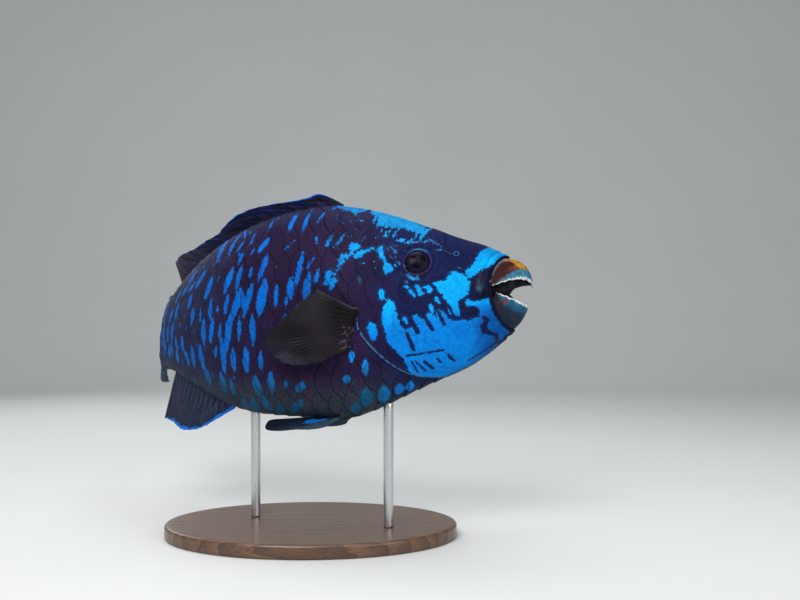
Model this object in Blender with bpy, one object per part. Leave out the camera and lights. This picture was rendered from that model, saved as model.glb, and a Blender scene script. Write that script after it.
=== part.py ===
"""A large midnight parrotfish, life size, turning to its left on a display stand.

Metres, +Z up. The head points to +X, the right side faces -Y and the tail
swings round to +Y. The origin is the middle of the underside of the stand's
base. The body is a set of oval sections along a bent spine. A point of it is
named by its station t (0 at the lips, 1 at the root of the tail fin, in shares
of the standard length), its sideways place y (left is +) and its height z.
"""

import math

import bmesh
import bpy
import numpy as np
from mathutils import Matrix

# ---------------------------------------------------------------- sizes
SL = 0.500  # standard length, lips to tail-fin root, along the spine
GAP = 0.0003  # between pieces that touch
BELLY_REF = np.array([0.045, -0.012, 0.235])  # spine at t = 0.33, over the floor
YAW, PITCH, ROLL = math.radians(3.15), math.radians(4.28), math.radians(4.92)
TAIL_TWIST = math.radians(-8.9)

# station, back height, belly depth, half width, all in shares of SL
SECTIONS = (
    (0.00, 0.071, 0.069, 0.036),
    (0.05, 0.100, 0.107, 0.050),
    (0.10, 0.120, 0.137, 0.062),
    (0.17, 0.153, 0.163, 0.076),
    (0.25, 0.187, 0.193, 0.085),
    (0.33, 0.210, 0.219, 0.089),
    (0.42, 0.216, 0.219, 0.089),
    (0.50, 0.210, 0.210, 0.086),
    (0.60, 0.192, 0.193, 0.077),
    (0.70, 0.165, 0.157, 0.063),
    (0.80, 0.132, 0.119, 0.047),
    (0.88, 0.106, 0.095, 0.035),
    (0.94, 0.090, 0.086, 0.027),
    (1.00, 0.090, 0.088, 0.018),
)
# station, turn of the spine to the left in degrees
BEND = (
    (0.00, 0.0),
    (0.18, 8.2),
    (0.36, 18.4),
    (0.52, 33.3),
    (0.68, 45.6),
    (0.84, 58.4),
    (1.00, 72.6),
    (1.15, 93.0),
    (1.30, 106.0),
)
# station, roundness above and below the widest level, height of that level
ROUNDNESS = (
    (0.00, 2.2, 2.1, 0.000),
    (0.10, 2.2, 2.1, -0.008),
    (0.25, 2.05, 2.15, -0.016),
    (0.40, 1.95, 2.25, -0.012),
    (0.70, 1.95, 2.1, 0.0),
    (1.00, 2.0, 2.0, 0.0),
)

MOUTH_CORNER_T, LIP_TOP_T, LIP_CHIN_T = 0.054, 0.006, 0.008
LIP_EDGE = 0.0022  # thickness of the lips' rim
BEAK_HALF_UPPER, BEAK_HALF_LOWER, BEAK_ROOT_SUNK = 0.0385, 0.0365, 0.0028
EYE_T, EYE_TAU, EYE_R, EYE_PROUD = 0.188, 1.071, 0.0150, 0.0030
GILL_PLATE = 0.0045
CUT_CENTRE = 0.245  # station on the spine where the cut behind the head closes
PEDUNCLE_T = 0.80

DORSAL_T, ANAL_T = (0.336, 0.868), (0.634, 0.880)
FIN_ROOT, FIN_EDGE = 0.0030, 0.0010
CAUDAL_LOBE_T, CAUDAL_FORK_T, CAUDAL_LOBE_Z = 1.205, 1.092, 0.113

BASE_L, BASE_W, BASE_H = 0.300, 0.200, 0.014
ROD_R, ROD_IN = 0.0050, 0.008
ROD_T = (0.275, 0.575)


# ---------------------------------------------------------------- the body's form
def spline(xs, ys):
    """Natural cubic through the knots, as a function of x."""
    x, y = np.asarray(xs, float), np.asarray(ys, float)
    n, h = len(x), np.diff(x)
    a, b = np.zeros((n, n)), np.zeros(n)
    a[0, 0] = a[-1, -1] = 1
    for i in range(1, n - 1):
        a[i, i - 1], a[i, i], a[i, i + 1] = h[i - 1], 2 * (h[i - 1] + h[i]), h[i]
        b[i] = 6 * ((y[i + 1] - y[i]) / h[i] - (y[i] - y[i - 1]) / h[i - 1])
    m = np.linalg.solve(a, b)

    def at(t):
        t = np.clip(np.asarray(t, float), x[0], x[-1])
        i = np.clip(np.searchsorted(x, t, side="right") - 1, 0, n - 2)
        p, q = x[i + 1] - t, t - x[i]
        return (
            (m[i] * p**3 + m[i + 1] * q**3) / (6 * h[i])
            + (y[i] / h[i] - m[i] * h[i] / 6) * p
            + (y[i + 1] / h[i] - m[i + 1] * h[i] / 6) * q
        )

    return at


def column(table, k):
    return spline([row[0] for row in table], [row[k] for row in table])


back, belly, half_width = (column(SECTIONS, k) for k in (1, 2, 3))
round_up, round_down, wide_level = (column(ROUNDNESS, k) for k in (1, 2, 3))
bend = column(BEND, 1)

SPINE_T = np.linspace(-0.12, 1.4, 761)
SPINE_TURN = -np.radians(np.where(SPINE_T < 0, 0, bend(SPINE_T)))
STEP = np.diff(SPINE_T) * SL
SPINE_X = np.concatenate(
    [[0], np.cumsum(-(np.cos(SPINE_TURN[1:]) + np.cos(SPINE_TURN[:-1])) / 2 * STEP)]
)
SPINE_Y = np.concatenate(
    [[0], np.cumsum(-(np.sin(SPINE_TURN[1:]) + np.sin(SPINE_TURN[:-1])) / 2 * STEP)]
)
SPINE_X = SPINE_X - np.interp(0.33, SPINE_T, SPINE_X)
SPINE_Y = SPINE_Y - np.interp(0.33, SPINE_T, SPINE_Y)


def pose_matrix():
    cy, sy, cp, sp, cr, sr = (
        f(a) for a in (YAW, PITCH, ROLL) for f in (math.cos, math.sin)
    )
    yaw = np.array([[cy, -sy, 0], [sy, cy, 0], [0, 0, 1]])
    pitch = np.array([[cp, 0, -sp], [0, 1, 0], [sp, 0, cp]])
    roll = np.array([[1, 0, 0], [0, cr, sr], [0, -sr, cr]])
    return yaw @ pitch @ roll


POSE = pose_matrix()


def place(t, y, z):
    """Station, sideways and up (metres) to the world."""
    t, y, z = np.broadcast_arrays(np.asarray(t, float), y, z)
    px, py = np.interp(t, SPINE_T, SPINE_X), np.interp(t, SPINE_T, SPINE_Y)
    turn = np.interp(t, SPINE_T, SPINE_TURN)
    twist = TAIL_TWIST * np.clip((t - 0.35) / 0.65, 0, 1.6)
    y2 = y * np.cos(twist) - z * np.sin(twist)
    z2 = y * np.sin(twist) + z * np.cos(twist)
    at = np.stack([px - np.sin(turn) * y2, py + np.cos(turn) * y2, z2], -1)
    return at @ POSE.T + BELLY_REF


def section(t, tau):
    """The oval at a station: tau 0 on the back, pi/2 on the right side, pi below."""
    t, tau = np.broadcast_arrays(np.asarray(t, float), np.asarray(tau, float))
    top, low, mid = back(t) * SL, -belly(t) * SL, wide_level(t) * SL
    c, s = np.cos(tau), np.sin(tau)
    n = np.where(c > 0, round_up(t), round_down(t))
    q = (np.abs(c) ** n + np.abs(s) ** n) ** (-1 / n)
    z = mid + np.where(c > 0, top - mid, mid - low) * q * c
    return -half_width(t) * SL * q * s, z


def skin(t, tau, sunk=0.0, centre=0.0):
    """World point on the body's surface, or sunk metres towards the spine."""
    y, z = section(t, tau)
    zc = centre * SL
    r = np.hypot(y, z - zc)
    k = np.maximum(1 - np.asarray(sunk) / r, 0)
    return place(t, y * k, zc + (z - zc) * k)


# ---------------------------------------------------------------- making meshes
def material(name, colour, rough, metal=0.0):
    m = bpy.data.materials.new(name)
    m.use_nodes = True
    bsdf = m.node_tree.nodes["Principled BSDF"]
    bsdf.inputs["Base Color"].default_value = (*colour, 1)
    bsdf.inputs["Roughness"].default_value = rough
    bsdf.inputs["Metallic"].default_value = metal
    return m


def solid(name, verts, faces, mat, helper=False):
    mesh = bpy.data.meshes.new(name)
    mesh.from_pydata([tuple(map(float, v)) for v in verts], [], faces)
    bm = bmesh.new()
    bm.from_mesh(mesh)
    bmesh.ops.recalc_face_normals(bm, faces=bm.faces)
    if bm.calc_volume(signed=True) < 0:
        bmesh.ops.reverse_faces(bm, faces=bm.faces)
    bmesh.ops.triangulate(bm, faces=[f for f in bm.faces if len(f.verts) > 3])
    bm.to_mesh(mesh)
    bm.free()
    mesh.shade_smooth()
    mesh.materials.append(mat)
    obj = bpy.data.objects.new(name, mesh)
    bpy.context.scene.collection.objects.link(obj)
    if helper:
        obj.hide_render = True
        obj.display_type = "WIRE"
    return obj


def cut(obj, cutter):
    m = obj.modifiers.new("cut_" + cutter.name, "BOOLEAN")
    m.operation, m.solver, m.object = "DIFFERENCE", "EXACT", cutter


def rings_solid(rings, first=None, last=None):
    """Rings of equal count joined in order, each end closed by a point."""
    verts, faces, n = [], [], len(rings[0])
    for ring in rings:
        verts.extend(ring)
    for i in range(len(rings) - 1):
        for j in range(n):
            k = (j + 1) % n
            faces.append((i * n + j, i * n + k, (i + 1) * n + k, (i + 1) * n + j))
    for point, base in ((first, 0), (last, (len(rings) - 1) * n)):
        if point is not None:
            verts.append(point)
            faces.extend(
                (base + j, base + (j + 1) % n, len(verts) - 1) for j in range(n)
            )
    return verts, faces


def slab(front, rear):
    """Two equal grids of points, closed round their border into one slab."""
    rows, cols = front.shape[:2]
    verts = list(front.reshape(-1, 3)) + list(rear.reshape(-1, 3))
    off, faces = rows * cols, []
    for i in range(rows - 1):
        for j in range(cols - 1):
            a, b = i * cols + j, i * cols + j + 1
            c, d = (i + 1) * cols + j + 1, (i + 1) * cols + j
            faces.append((a, b, c, d))
            faces.append((off + d, off + c, off + b, off + a))
    edge = [(0, j) for j in range(cols)] + [(i, cols - 1) for i in range(1, rows)]
    edge += [(rows - 1, j) for j in range(cols - 2, -1, -1)]
    edge += [(i, 0) for i in range(rows - 2, 0, -1)]
    for (i, j), (k, m) in zip(edge, edge[1:] + edge[:1]):
        a, b = i * cols + j, k * cols + m
        faces.append((b, a, off + a, off + b))
    return verts, faces


# ---------------------------------------------------------------- cuts between the parts
def lip_t(tau):
    """Where the lips end: far forward above and below, far back at the corners."""
    c = np.cos(tau)
    k = np.where(c > 0.15, (c - 0.15) / 0.85, (0.15 - c) / 1.15)
    tip = np.where(c > 0.15, LIP_TOP_T, LIP_CHIN_T)
    return MOUTH_CORNER_T - (MOUTH_CORNER_T - tip) * k**2


gill_edge = spline(
    (0.0, 0.55, 0.95, 1.25, 1.42, 1.56, 1.72, 1.90, 2.18, 2.60, 2.90, math.pi),
    (0.300, 0.303, 0.320, 0.345, 0.329, 0.312, 0.308, 0.292, 0.257, 0.200, 0.160, 0.152),
)
front_of_gill_plate = spline(
    (0.0, 0.80, 1.27, 1.69, 2.18, 2.60, math.pi),
    (0.255, 0.258, 0.262, 0.245, 0.180, 0.130, 0.10),
)


def folded(tau):
    """tau measured from the back down either side, 0 to pi."""
    return np.abs((tau + math.pi) % (2 * math.pi) - math.pi)


def gill_t(tau):
    return gill_edge(folded(tau))


def cap_rings(t_of, tau, centre_t, shift, shares):
    """Rings that close a cut along a curved line, drawn in towards the spine."""
    rings = []
    for share in shares:
        t = t_of(tau) * share + centre_t * (1 - share) + shift
        y, z = section(t_of(tau) + shift, tau)
        rings.append(place(t, y * share, z * share))
    return rings


def build_body(mats):
    tau = np.linspace(0, 2 * math.pi, 36, endpoint=False)
    centre = CUT_CENTRE
    inner = (0.72, 0.40)

    # head: pocket of the mouth, lips, cheeks and nape up to the gill opening
    rings = []
    for sunk, ahead in ((0.0165, 0.060), (0.0085, 0.030), (0.0026, 0.020), (LIP_EDGE, 0.0016)):
        rings.append(skin(lip_t(tau) + ahead, tau, sunk))
    for u in (0, 0.03, 0.08, 0.15, 0.24, 0.34, 0.45, 0.57, 0.70, 0.84, 1.0):
        t = lip_t(tau) + (gill_t(tau) - lip_t(tau)) * u
        rings.append(skin(t, tau))
    rings += cap_rings(gill_t, tau, centre, 0, inner)
    head = solid(
        "head",
        *rings_solid(rings, place(0.150, 0, 0.0), place(centre, 0, 0)),
        mats["skin"],
    )

    # trunk, from the gill opening to the root of the tail
    rings = cap_rings(gill_t, tau, centre, 0.0012, inner[::-1])
    for u in np.linspace(0, 1, 15):
        t = (gill_t(tau) + 0.0012) * (1 - u) + PEDUNCLE_T * u
        rings.append(skin(t, tau))
    trunk = solid(
        "trunk",
        *rings_solid(rings, place(centre + 0.0012, 0, 0), place(PEDUNCLE_T, 0, 0)),
        mats["skin"],
    )

    # the tail's stem, up to the fleshy root of the tail fin
    rings = [skin(t, tau[::2]) for t in np.linspace(PEDUNCLE_T + GAP / SL, 0.996, 8)]
    first, last = place(PEDUNCLE_T + GAP / SL, 0, 0), place(0.996, 0, 0)
    tail = solid("tail_stem", *rings_solid(rings, first, last), mats["skin"])
    return head, trunk, tail


# ---------------------------------------------------------------- gill covers
def gill_plate(side, outer, inner, grow):
    """A curved plate over the gills; grow widens it for the recess it lies in."""
    s = np.linspace(0.98, 2.56, 13) + grow * 12 * np.linspace(-1, 1, 13)
    tau = np.repeat(s[:, None], 9, 1)
    u = np.linspace(0, 1, 9)[None, :]
    start = front_of_gill_plate(tau) - grow
    layers = []
    for sunk in (outer, inner):
        y, z = section(gill_edge(tau), tau)
        lean = (gill_edge(tau) - CUT_CENTRE) * max(sunk, 0) / np.hypot(y, z)
        stop = gill_edge(tau) - lean + (0.012 if grow else -0.0016)
        layers.append(skin(start + (stop - start) * u, tau * side, sunk))
    return slab(*layers)


def build_gill_covers(head, mats):
    for side, word in ((1, "right"), (-1, "left")):
        cutter = solid(
            "gill_recess_" + word,
            *gill_plate(side, -0.004, GILL_PLATE + 0.0004, 0.0014),
            mats["skin"],
            helper=True,
        )
        cut(head, cutter)
        solid(
            "gill_cover_" + word,
            *gill_plate(side, 0.0, GILL_PLATE, 0.0),
            mats["skin"],
        )


# ---------------------------------------------------------------- eyes
def ball(centre, radius, axis, squash=1.0, segments=16, rings=8):
    axis = axis / np.linalg.norm(axis)
    side = np.cross(axis, [0, 0, 1.0])
    side /= np.linalg.norm(side)
    up = np.cross(side, axis)
    ring_list = []
    for i in range(1, rings):
        a = math.pi * i / rings
        ring_list.append(
            np.array(
                [
                    centre
                    + radius * squash * math.cos(a) * axis
                    + radius * math.sin(a) * (math.cos(b) * side + math.sin(b) * up)
                    for b in np.linspace(0, 2 * math.pi, segments, endpoint=False)
                ]
            )
        )
    return rings_solid(
        ring_list, centre + radius * squash * axis, centre - radius * squash * axis
    )


def build_eyes(head, mats):
    for side, word in ((1, "right"), (-1, "left")):
        tau = EYE_TAU * side
        at = skin(EYE_T, tau)
        along = skin(EYE_T + 0.01, tau) - skin(EYE_T - 0.01, tau)
        around = skin(EYE_T, tau + 0.05) - skin(EYE_T, tau - 0.05)
        out = np.cross(along, around)
        out /= np.linalg.norm(out)
        if np.dot(out, at - place(EYE_T, 0, 0)) < 0:
            out = -out
        centre = at - out * (EYE_R * 0.80 - EYE_PROUD)
        cutter = solid(
            "eye_socket_" + word,
            *ball(centre, EYE_R + 0.0004, out, 0.80),
            mats["eye"],
            helper=True,
        )
        cut(head, cutter)
        solid("eye_" + word, *ball(centre, EYE_R, out, 0.80), mats["eye"])


# ---------------------------------------------------------------- beak
def beak(upper, thick_root, thick_edge, rows=6, cols=17):
    """One jaw's plate: a horseshoe from corner to corner, root to cutting edge."""
    s = np.linspace(-1, 1, cols)[None, :]
    v = np.linspace(0, 1, rows)[:, None]
    a = s * math.pi / 2
    corner, front = np.sin(a), np.maximum(np.cos(a), 0)
    if upper:
        root_tau = 1.34 * np.sign(s) * np.abs(s) ** 0.9
        edge_t = 0.050 - 0.086 * front**1.15
        edge_z = 0.0150 + 0.011 * np.sin(math.pi * np.abs(s)) - 0.0065 * front**5
        half = BEAK_HALF_UPPER
    else:
        root_tau = math.pi - 1.50 * np.sign(s) * np.abs(s) ** 0.9
        edge_t = 0.044 - 0.067 * front**1.15
        edge_z = 0.0020 - 0.0310 * front**1.25
        half = BEAK_HALF_LOWER

    def under_lip(ahead, sunk):
        t = lip_t(root_tau) + ahead
        y, z = section(t, root_tau)
        k = 1 - sunk / np.hypot(y, z)
        return t, y * k, z * k

    rt, ry, rz = under_lip(0.0, BEAK_ROOT_SUNK)
    ey, ez = -half * SL * corner, edge_z * SL
    if upper:
        mid_t, mid_y, mid_z = edge_t + 0.002, ey * 1.08, rz * 0.93 + 0 * ez
    else:
        mid_t, mid_y = (rt + edge_t) / 2, (ry + ey * 1.06) / 2
        mid_z = (rz + ez) / 2 - 0.010 * SL * front
    b0, b1, b2 = (1 - v) ** 2, 2 * v * (1 - v), v**2
    t = rt * b0 + mid_t * b1 + edge_t * b2
    y = ry * b0 + mid_y * b1 + ey * b2
    z = rz * b0 + mid_z * b1 + ez * b2
    for ahead, deeper in ((0.006, 0.0003), (0.012, 0.0006)):
        ht, hy, hz = under_lip(ahead, BEAK_ROOT_SUNK + deeper)
        t, y, z = (np.vstack([h, g]) for h, g in ((ht, t), (hy, y), (hz, z)))
    outer = place(t, y, z)
    v = np.concatenate([[[0.0], [0.0]], v])
    thick = thick_root * (1 - v) + thick_edge * v + 0 * s
    n = np.cross(np.gradient(outer, axis=1), np.gradient(outer, axis=0))
    n /= np.linalg.norm(n, axis=-1, keepdims=True)
    if np.mean(np.sum(n * (place(0.06, 0, float(ez.mean())) - outer), -1)) < 0:
        n = -n
    return outer, outer + n * thick[..., None]


def build_beak(mats):
    for upper, word in ((True, "upper"), (False, "lower")):
        outer, inner = beak(upper, 0.0032, 0.0013)
        solid("beak_" + word, *slab(outer, inner), mats["beak"])


# ---------------------------------------------------------------- median fins
def blade(root, edge, rows=7, thick=(FIN_ROOT, FIN_EDGE), bow=0.0):
    """A median fin: root and edge are lists of (t, z) in shares of SL."""
    root, edge = np.array(root), np.array(edge)
    v = np.linspace(0, 1, rows)[:, None]
    t = root[:, 0] * (1 - v) + edge[:, 0] * v
    z = (root[:, 1] * (1 - v) + edge[:, 1] * v) * SL
    half = (thick[0] * (1 - v) + thick[1] * v) / 2 + 0 * t
    y = bow * np.sin(v * math.pi / 2) + 0 * t
    return slab(place(t, y - half, z), place(t, y + half, z))


dorsal_height = spline(
    (0.0, 0.02, 0.10, 0.25, 0.42, 0.52, 0.63, 0.70, 0.84, 0.95, 1.0),
    (0.004, 0.018, 0.024, 0.028, 0.040, 0.038, 0.033, 0.040, 0.064, 0.084, 0.082),
)
anal_height = spline(
    (0.0, 0.06, 0.26, 0.48, 0.62, 0.80, 1.0),
    (0.004, 0.018, 0.064, 0.101, 0.112, 0.112, 0.112),
)


def median_fin(ends, height_of, top, rake_front, rake_rear, count):
    """Root points along the back or belly, each ray raked backwards."""
    root, edge = [], []
    for s in np.linspace(0, 1, count):
        t = ends[0] + (ends[1] - ends[0]) * s
        h = float(height_of(s))
        rake = rake_front + (rake_rear - rake_front) * s
        line = float(back(t)) if top else -float(belly(t))
        te = t + h * rake
        sign = 1 if top else -1
        past = float(back(min(te, 1.0))) if top else -float(belly(min(te, 1.0)))
        root.append((t, line + sign * (GAP + 0.0002) / SL))
        edge.append((te, past * 0.5 + line * 0.5 + sign * h))
    return root, edge


def build_fins(mats):
    root, edge = median_fin(DORSAL_T, dorsal_height, True, 0.9, 1.45, 25)
    solid("dorsal_fin", *blade(root, edge, 5), mats["fin"])
    root, edge = median_fin(ANAL_T, anal_height, False, 0.25, 0.50, 15)
    solid("anal_fin", *blade(root, edge, 6), mats["fin"])

    # tail fin: rays fan out from the stem's end to a crescent edge
    root, edge = [], []
    for s in np.linspace(-1, 1, 21):
        z0 = 0.0875 * s
        lobe = abs(s) ** 1.6
        z1 = CAUDAL_LOBE_Z * math.copysign(abs(s) ** 0.92, s)
        fork = CAUDAL_FORK_T + (CAUDAL_LOBE_T - CAUDAL_FORK_T) * lobe
        root.append((0.998 - 0.012 * (1 - s * s) * 0 + GAP / SL, z0))
        edge.append((fork, z1))
    solid("caudal_fin", *blade(root, edge, 6, (0.0055, 0.0010)), mats["fin"])


# ---------------------------------------------------------------- paired fins
def fan(corners, rows, cols, thick, lift):
    """A paired fin spread between its root line and its outline of tips.

    corners: root top, root bottom and a list of tips, as (t, y, z) in shares of SL.
    """
    top, low, tips = np.array(corners[0]), np.array(corners[1]), np.array(corners[2])
    along = np.concatenate(
        [[0], np.cumsum(np.linalg.norm(np.diff(tips, axis=0), axis=1))]
    )
    along /= along[-1]
    s = np.linspace(0, 1, cols)
    edge = np.stack([spline(along, tips[:, k])(s) for k in range(3)], -1)
    root = top[None] * (1 - s[:, None]) + low[None] * s[:, None]
    v = np.linspace(0, 1, rows)[:, None, None]
    mid = root[None] * (1 - v) + edge[None] * v
    mid = mid + lift * np.sin(v * math.pi) * np.array([0, -1.0, 0])
    world = place(mid[..., 0], mid[..., 1] * SL, mid[..., 2] * SL)
    n = np.cross(np.gradient(world, axis=1), np.gradient(world, axis=0))
    n /= np.linalg.norm(n, axis=-1, keepdims=True)
    half = (thick[0] * (1 - v) + thick[1] * v)[..., 0] / 2 + 0 * mid[..., 0]
    return slab(world - n * half[..., None], world + n * half[..., None])


def mirrored(corners):
    flip = np.array([1, -1, 1])
    return [np.array(c) * flip for c in corners]


PECTORAL = (
    (0.3075, -0.0945, -0.008),
    (0.3320, -0.0925, -0.090),
    (
        (0.366, -0.111, 0.033),
        (0.398, -0.121, 0.008),
        (0.424, -0.129, -0.021),
        (0.451, -0.131, -0.046),
        (0.463, -0.129, -0.071),
        (0.450, -0.124, -0.091),
        (0.435, -0.116, -0.106),
        (0.409, -0.108, -0.112),
        (0.382, -0.099, -0.113),
    ),
)
PELVIC = (
    (0.332, -0.0120, -0.2250),
    (0.366, -0.0340, -0.2230),
    (
        (0.430, -0.012, -0.2250),
        (0.492, -0.014, -0.2180),
        (0.523, -0.024, -0.2180),
        (0.518, -0.045, -0.2310),
        (0.446, -0.058, -0.2380),
        (0.400, -0.060, -0.2380),
        (0.386, -0.054, -0.2350),
    ),
)


def build_paired_fins(mats):
    for side, word in ((1, "right"), (-1, "left")):
        turn = (lambda c: c) if side == 1 else mirrored
        solid(
            "pectoral_fin_" + word,
            *fan(turn(PECTORAL), 7, 13, (0.0030, 0.0009), 0.004 * side),
            mats["fin"],
        )
        solid(
            "pelvic_fin_" + word,
            *fan(turn(PELVIC), 6, 9, (0.0028, 0.0009), 0.0),
            mats["fin"],
        )


# ---------------------------------------------------------------- stand
def build_stand(trunk, mats):
    bpy.ops.mesh.primitive_cylinder_add(
        vertices=40, radius=0.5, depth=BASE_H, location=(0, 0, BASE_H / 2)
    )
    base = bpy.context.object
    base.name = "stand_base"
    base.data.transform(Matrix.Diagonal((BASE_L, BASE_W, 1, 1)))
    bevel = base.modifiers.new("edge", "BEVEL")
    bevel.width, bevel.segments, bevel.limit_method = 0.003, 2, "ANGLE"
    bevel.angle_limit = math.radians(50)
    base.data.materials.append(mats["base"])

    for t, word in zip(ROD_T, ("front", "rear")):
        foot = place(t, 0, -float(belly(t)) * SL)
        top = foot[2] + ROD_IN
        low = BASE_H + GAP
        hole = rod_mesh("rod_hole_" + word, foot, foot[2] - 0.02, top + 0.0006, ROD_R + 0.0004, mats["rod"], True)
        cut(trunk, hole)
        rod_mesh("stand_rod_" + word, foot, low, top, ROD_R, mats["rod"], False)


def rod_mesh(name, foot, low, top, radius, mat, helper):
    rings = []
    for z in (low, top):
        rings.append(
            np.array(
                [
                    (foot[0] + radius * math.cos(a), foot[1] + radius * math.sin(a), z)
                    for a in np.linspace(0, 2 * math.pi, 24, endpoint=False)
                ]
            )
        )
    first, last = np.array([foot[0], foot[1], low]), np.array([foot[0], foot[1], top])
    return solid(name, *rings_solid(rings, first, last), mat, helper)


def main():
    for obj in list(bpy.data.objects):
        bpy.data.objects.remove(obj, do_unlink=True)
    mats = {
        "skin": material("skin", (0.030, 0.014, 0.045), 0.45),
        "fin": material("fin", (0.012, 0.020, 0.055), 0.50),
        "beak": material("beak", (0.040, 0.260, 0.330), 0.30),
        "eye": material("eye", (0.010, 0.006, 0.010), 0.08),
        "base": material("base", (0.060, 0.035, 0.022), 0.35),
        "rod": material("rod", (0.600, 0.610, 0.620), 0.25, 1.0),
    }
    head, trunk, _ = build_body(mats)
    build_gill_covers(head, mats)
    build_eyes(head, mats)
    build_beak(mats)
    build_fins(mats)
    build_paired_fins(mats)
    build_stand(trunk, mats)


main()
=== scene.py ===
import math

import bpy
import numpy as np
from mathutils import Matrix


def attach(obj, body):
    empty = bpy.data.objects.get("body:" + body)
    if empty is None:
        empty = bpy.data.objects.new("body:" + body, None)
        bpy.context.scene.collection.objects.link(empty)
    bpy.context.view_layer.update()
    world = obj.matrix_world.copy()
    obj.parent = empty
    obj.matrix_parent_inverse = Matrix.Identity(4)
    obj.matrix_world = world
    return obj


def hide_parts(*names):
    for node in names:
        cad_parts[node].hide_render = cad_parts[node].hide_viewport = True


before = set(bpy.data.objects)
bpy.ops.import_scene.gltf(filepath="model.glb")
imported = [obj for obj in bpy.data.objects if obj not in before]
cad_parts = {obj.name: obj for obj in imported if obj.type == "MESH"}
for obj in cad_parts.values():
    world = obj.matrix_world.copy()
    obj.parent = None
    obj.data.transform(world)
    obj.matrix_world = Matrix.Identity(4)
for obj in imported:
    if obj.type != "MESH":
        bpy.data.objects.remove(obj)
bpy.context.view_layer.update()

# The looks of a large parrotfish held still on two rods. Lengths are metres
# unless a name ends in _MM; t is the share of the body's length from the
# snout, tau the angle round it from the back (0) over the right side to the
# belly (pi); the left side has the same angles with a minus sign.

# ---------------------------------------------------------------- driving sizes
SL = 0.500
BELLY_REF = np.array([0.045, -0.012, 0.235])
YAW, PITCH, ROLL = (math.radians(a) for a in (3.15, 4.28, 4.92))
TAIL_TWIST = math.radians(-8.9)

SECTIONS = (  # t, back, belly, half width
    (0.00, 0.071, 0.069, 0.036),
    (0.05, 0.100, 0.107, 0.050),
    (0.10, 0.120, 0.137, 0.062),
    (0.17, 0.153, 0.163, 0.076),
    (0.25, 0.187, 0.193, 0.085),
    (0.33, 0.210, 0.219, 0.089),
    (0.42, 0.216, 0.219, 0.089),
    (0.50, 0.210, 0.210, 0.086),
    (0.60, 0.192, 0.193, 0.077),
    (0.70, 0.165, 0.157, 0.063),
    (0.80, 0.132, 0.119, 0.047),
    (0.88, 0.106, 0.095, 0.035),
    (0.94, 0.090, 0.086, 0.027),
    (1.00, 0.090, 0.088, 0.018),
)
BEND = ((0, 0), (0.18, 8.2), (0.36, 18.4), (0.52, 33.3), (0.68, 45.6), (0.84, 58.4), (1.0, 72.6), (1.15, 93.0), (1.30, 106.0))
ROUNDNESS = (
    (0.00, 2.20, 2.10, 0.000),
    (0.10, 2.20, 2.10, -0.008),
    (0.25, 2.05, 2.15, -0.016),
    (0.40, 1.95, 2.25, -0.012),
    (0.70, 1.95, 2.10, 0.000),
    (1.00, 2.00, 2.00, 0.000),
)
MOUTH_CORNER_T, LIP_TOP_T, LIP_CHIN_T = 0.054, 0.006, 0.008
LIP_EDGE = 0.0022
BEAK_HALF_UPPER, BEAK_HALF_LOWER, BEAK_ROOT_SUNK = 0.0385, 0.0365, 0.0028
EYE_T, EYE_TAU, EYE_R = 0.188, 1.071, 0.0150
DORSAL_T, ANAL_T = (0.336, 0.868), (0.634, 0.880)
CAUDAL_LOBE_T, CAUDAL_FORK_T, CAUDAL_LOBE_Z = 1.205, 1.092, 0.113
BASE_L, BASE_W, BASE_H = 0.300, 0.200, 0.014
ROD_R, ROD_T = 0.0050, (0.275, 0.575)

COAT_MM = 1.55  # depth of the scales' coat over the skin
SCALE_LIFT_MM = (0.05, 1.50)  # front and rear edge of a scale over the skin
SCALE_THICK_MM = 0.34
SCALE_STEP = 0.0310  # spacing of the scales of one row, share of the length
SCALE_ROWS = (1.0, 0.79, 0.575, 0.36, 0.14, -0.10, -0.33, -0.565, -0.79, -1.0)
SCALE_FRONT_MM, SCALE_REAR_MM = 16.0, 9.5

CAMERA_AT = (0.0915, -1.0095, 0.2425)
CAMERA_LENS = 44.016


# ---------------------------------------------------------------- the body's form
def spline(xs, ys):
    """Natural cubic through the knots."""
    x, y = np.asarray(xs, float), np.asarray(ys, float)
    n, h = len(x), np.diff(x)
    a, b = np.zeros((n, n)), np.zeros(n)
    a[0, 0] = a[-1, -1] = 1
    for i in range(1, n - 1):
        a[i, i - 1], a[i, i], a[i, i + 1] = h[i - 1], 2 * (h[i - 1] + h[i]), h[i]
        b[i] = 6 * ((y[i + 1] - y[i]) / h[i] - (y[i] - y[i - 1]) / h[i - 1])
    m = np.linalg.solve(a, b)

    def at(t):
        t = np.clip(np.asarray(t, float), x[0], x[-1])
        i = np.clip(np.searchsorted(x, t, side="right") - 1, 0, n - 2)
        p, q = x[i + 1] - t, t - x[i]
        return (
            (m[i] * p**3 + m[i + 1] * q**3) / (6 * h[i])
            + (y[i] / h[i] - m[i] * h[i] / 6) * p
            + (y[i + 1] / h[i] - m[i + 1] * h[i] / 6) * q
        )

    return at


def column(table, k):
    return spline([row[0] for row in table], [row[k] for row in table])


back, belly, half_width = (column(SECTIONS, k) for k in (1, 2, 3))
round_up, round_down, wide_level = (column(ROUNDNESS, k) for k in (1, 2, 3))
bend = column(BEND, 1)
SPINE_T = np.linspace(-0.12, 1.4, 761)
SPINE_TURN = -np.radians(np.where(SPINE_T < 0, 0, bend(SPINE_T)))
STEP = np.diff(SPINE_T) * SL
SPINE_X = np.concatenate([[0], np.cumsum(-(np.cos(SPINE_TURN[1:]) + np.cos(SPINE_TURN[:-1])) / 2 * STEP)])
SPINE_Y = np.concatenate([[0], np.cumsum(-(np.sin(SPINE_TURN[1:]) + np.sin(SPINE_TURN[:-1])) / 2 * STEP)])
SPINE_X = SPINE_X - np.interp(0.33, SPINE_T, SPINE_X)
SPINE_Y = SPINE_Y - np.interp(0.33, SPINE_T, SPINE_Y)


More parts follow.
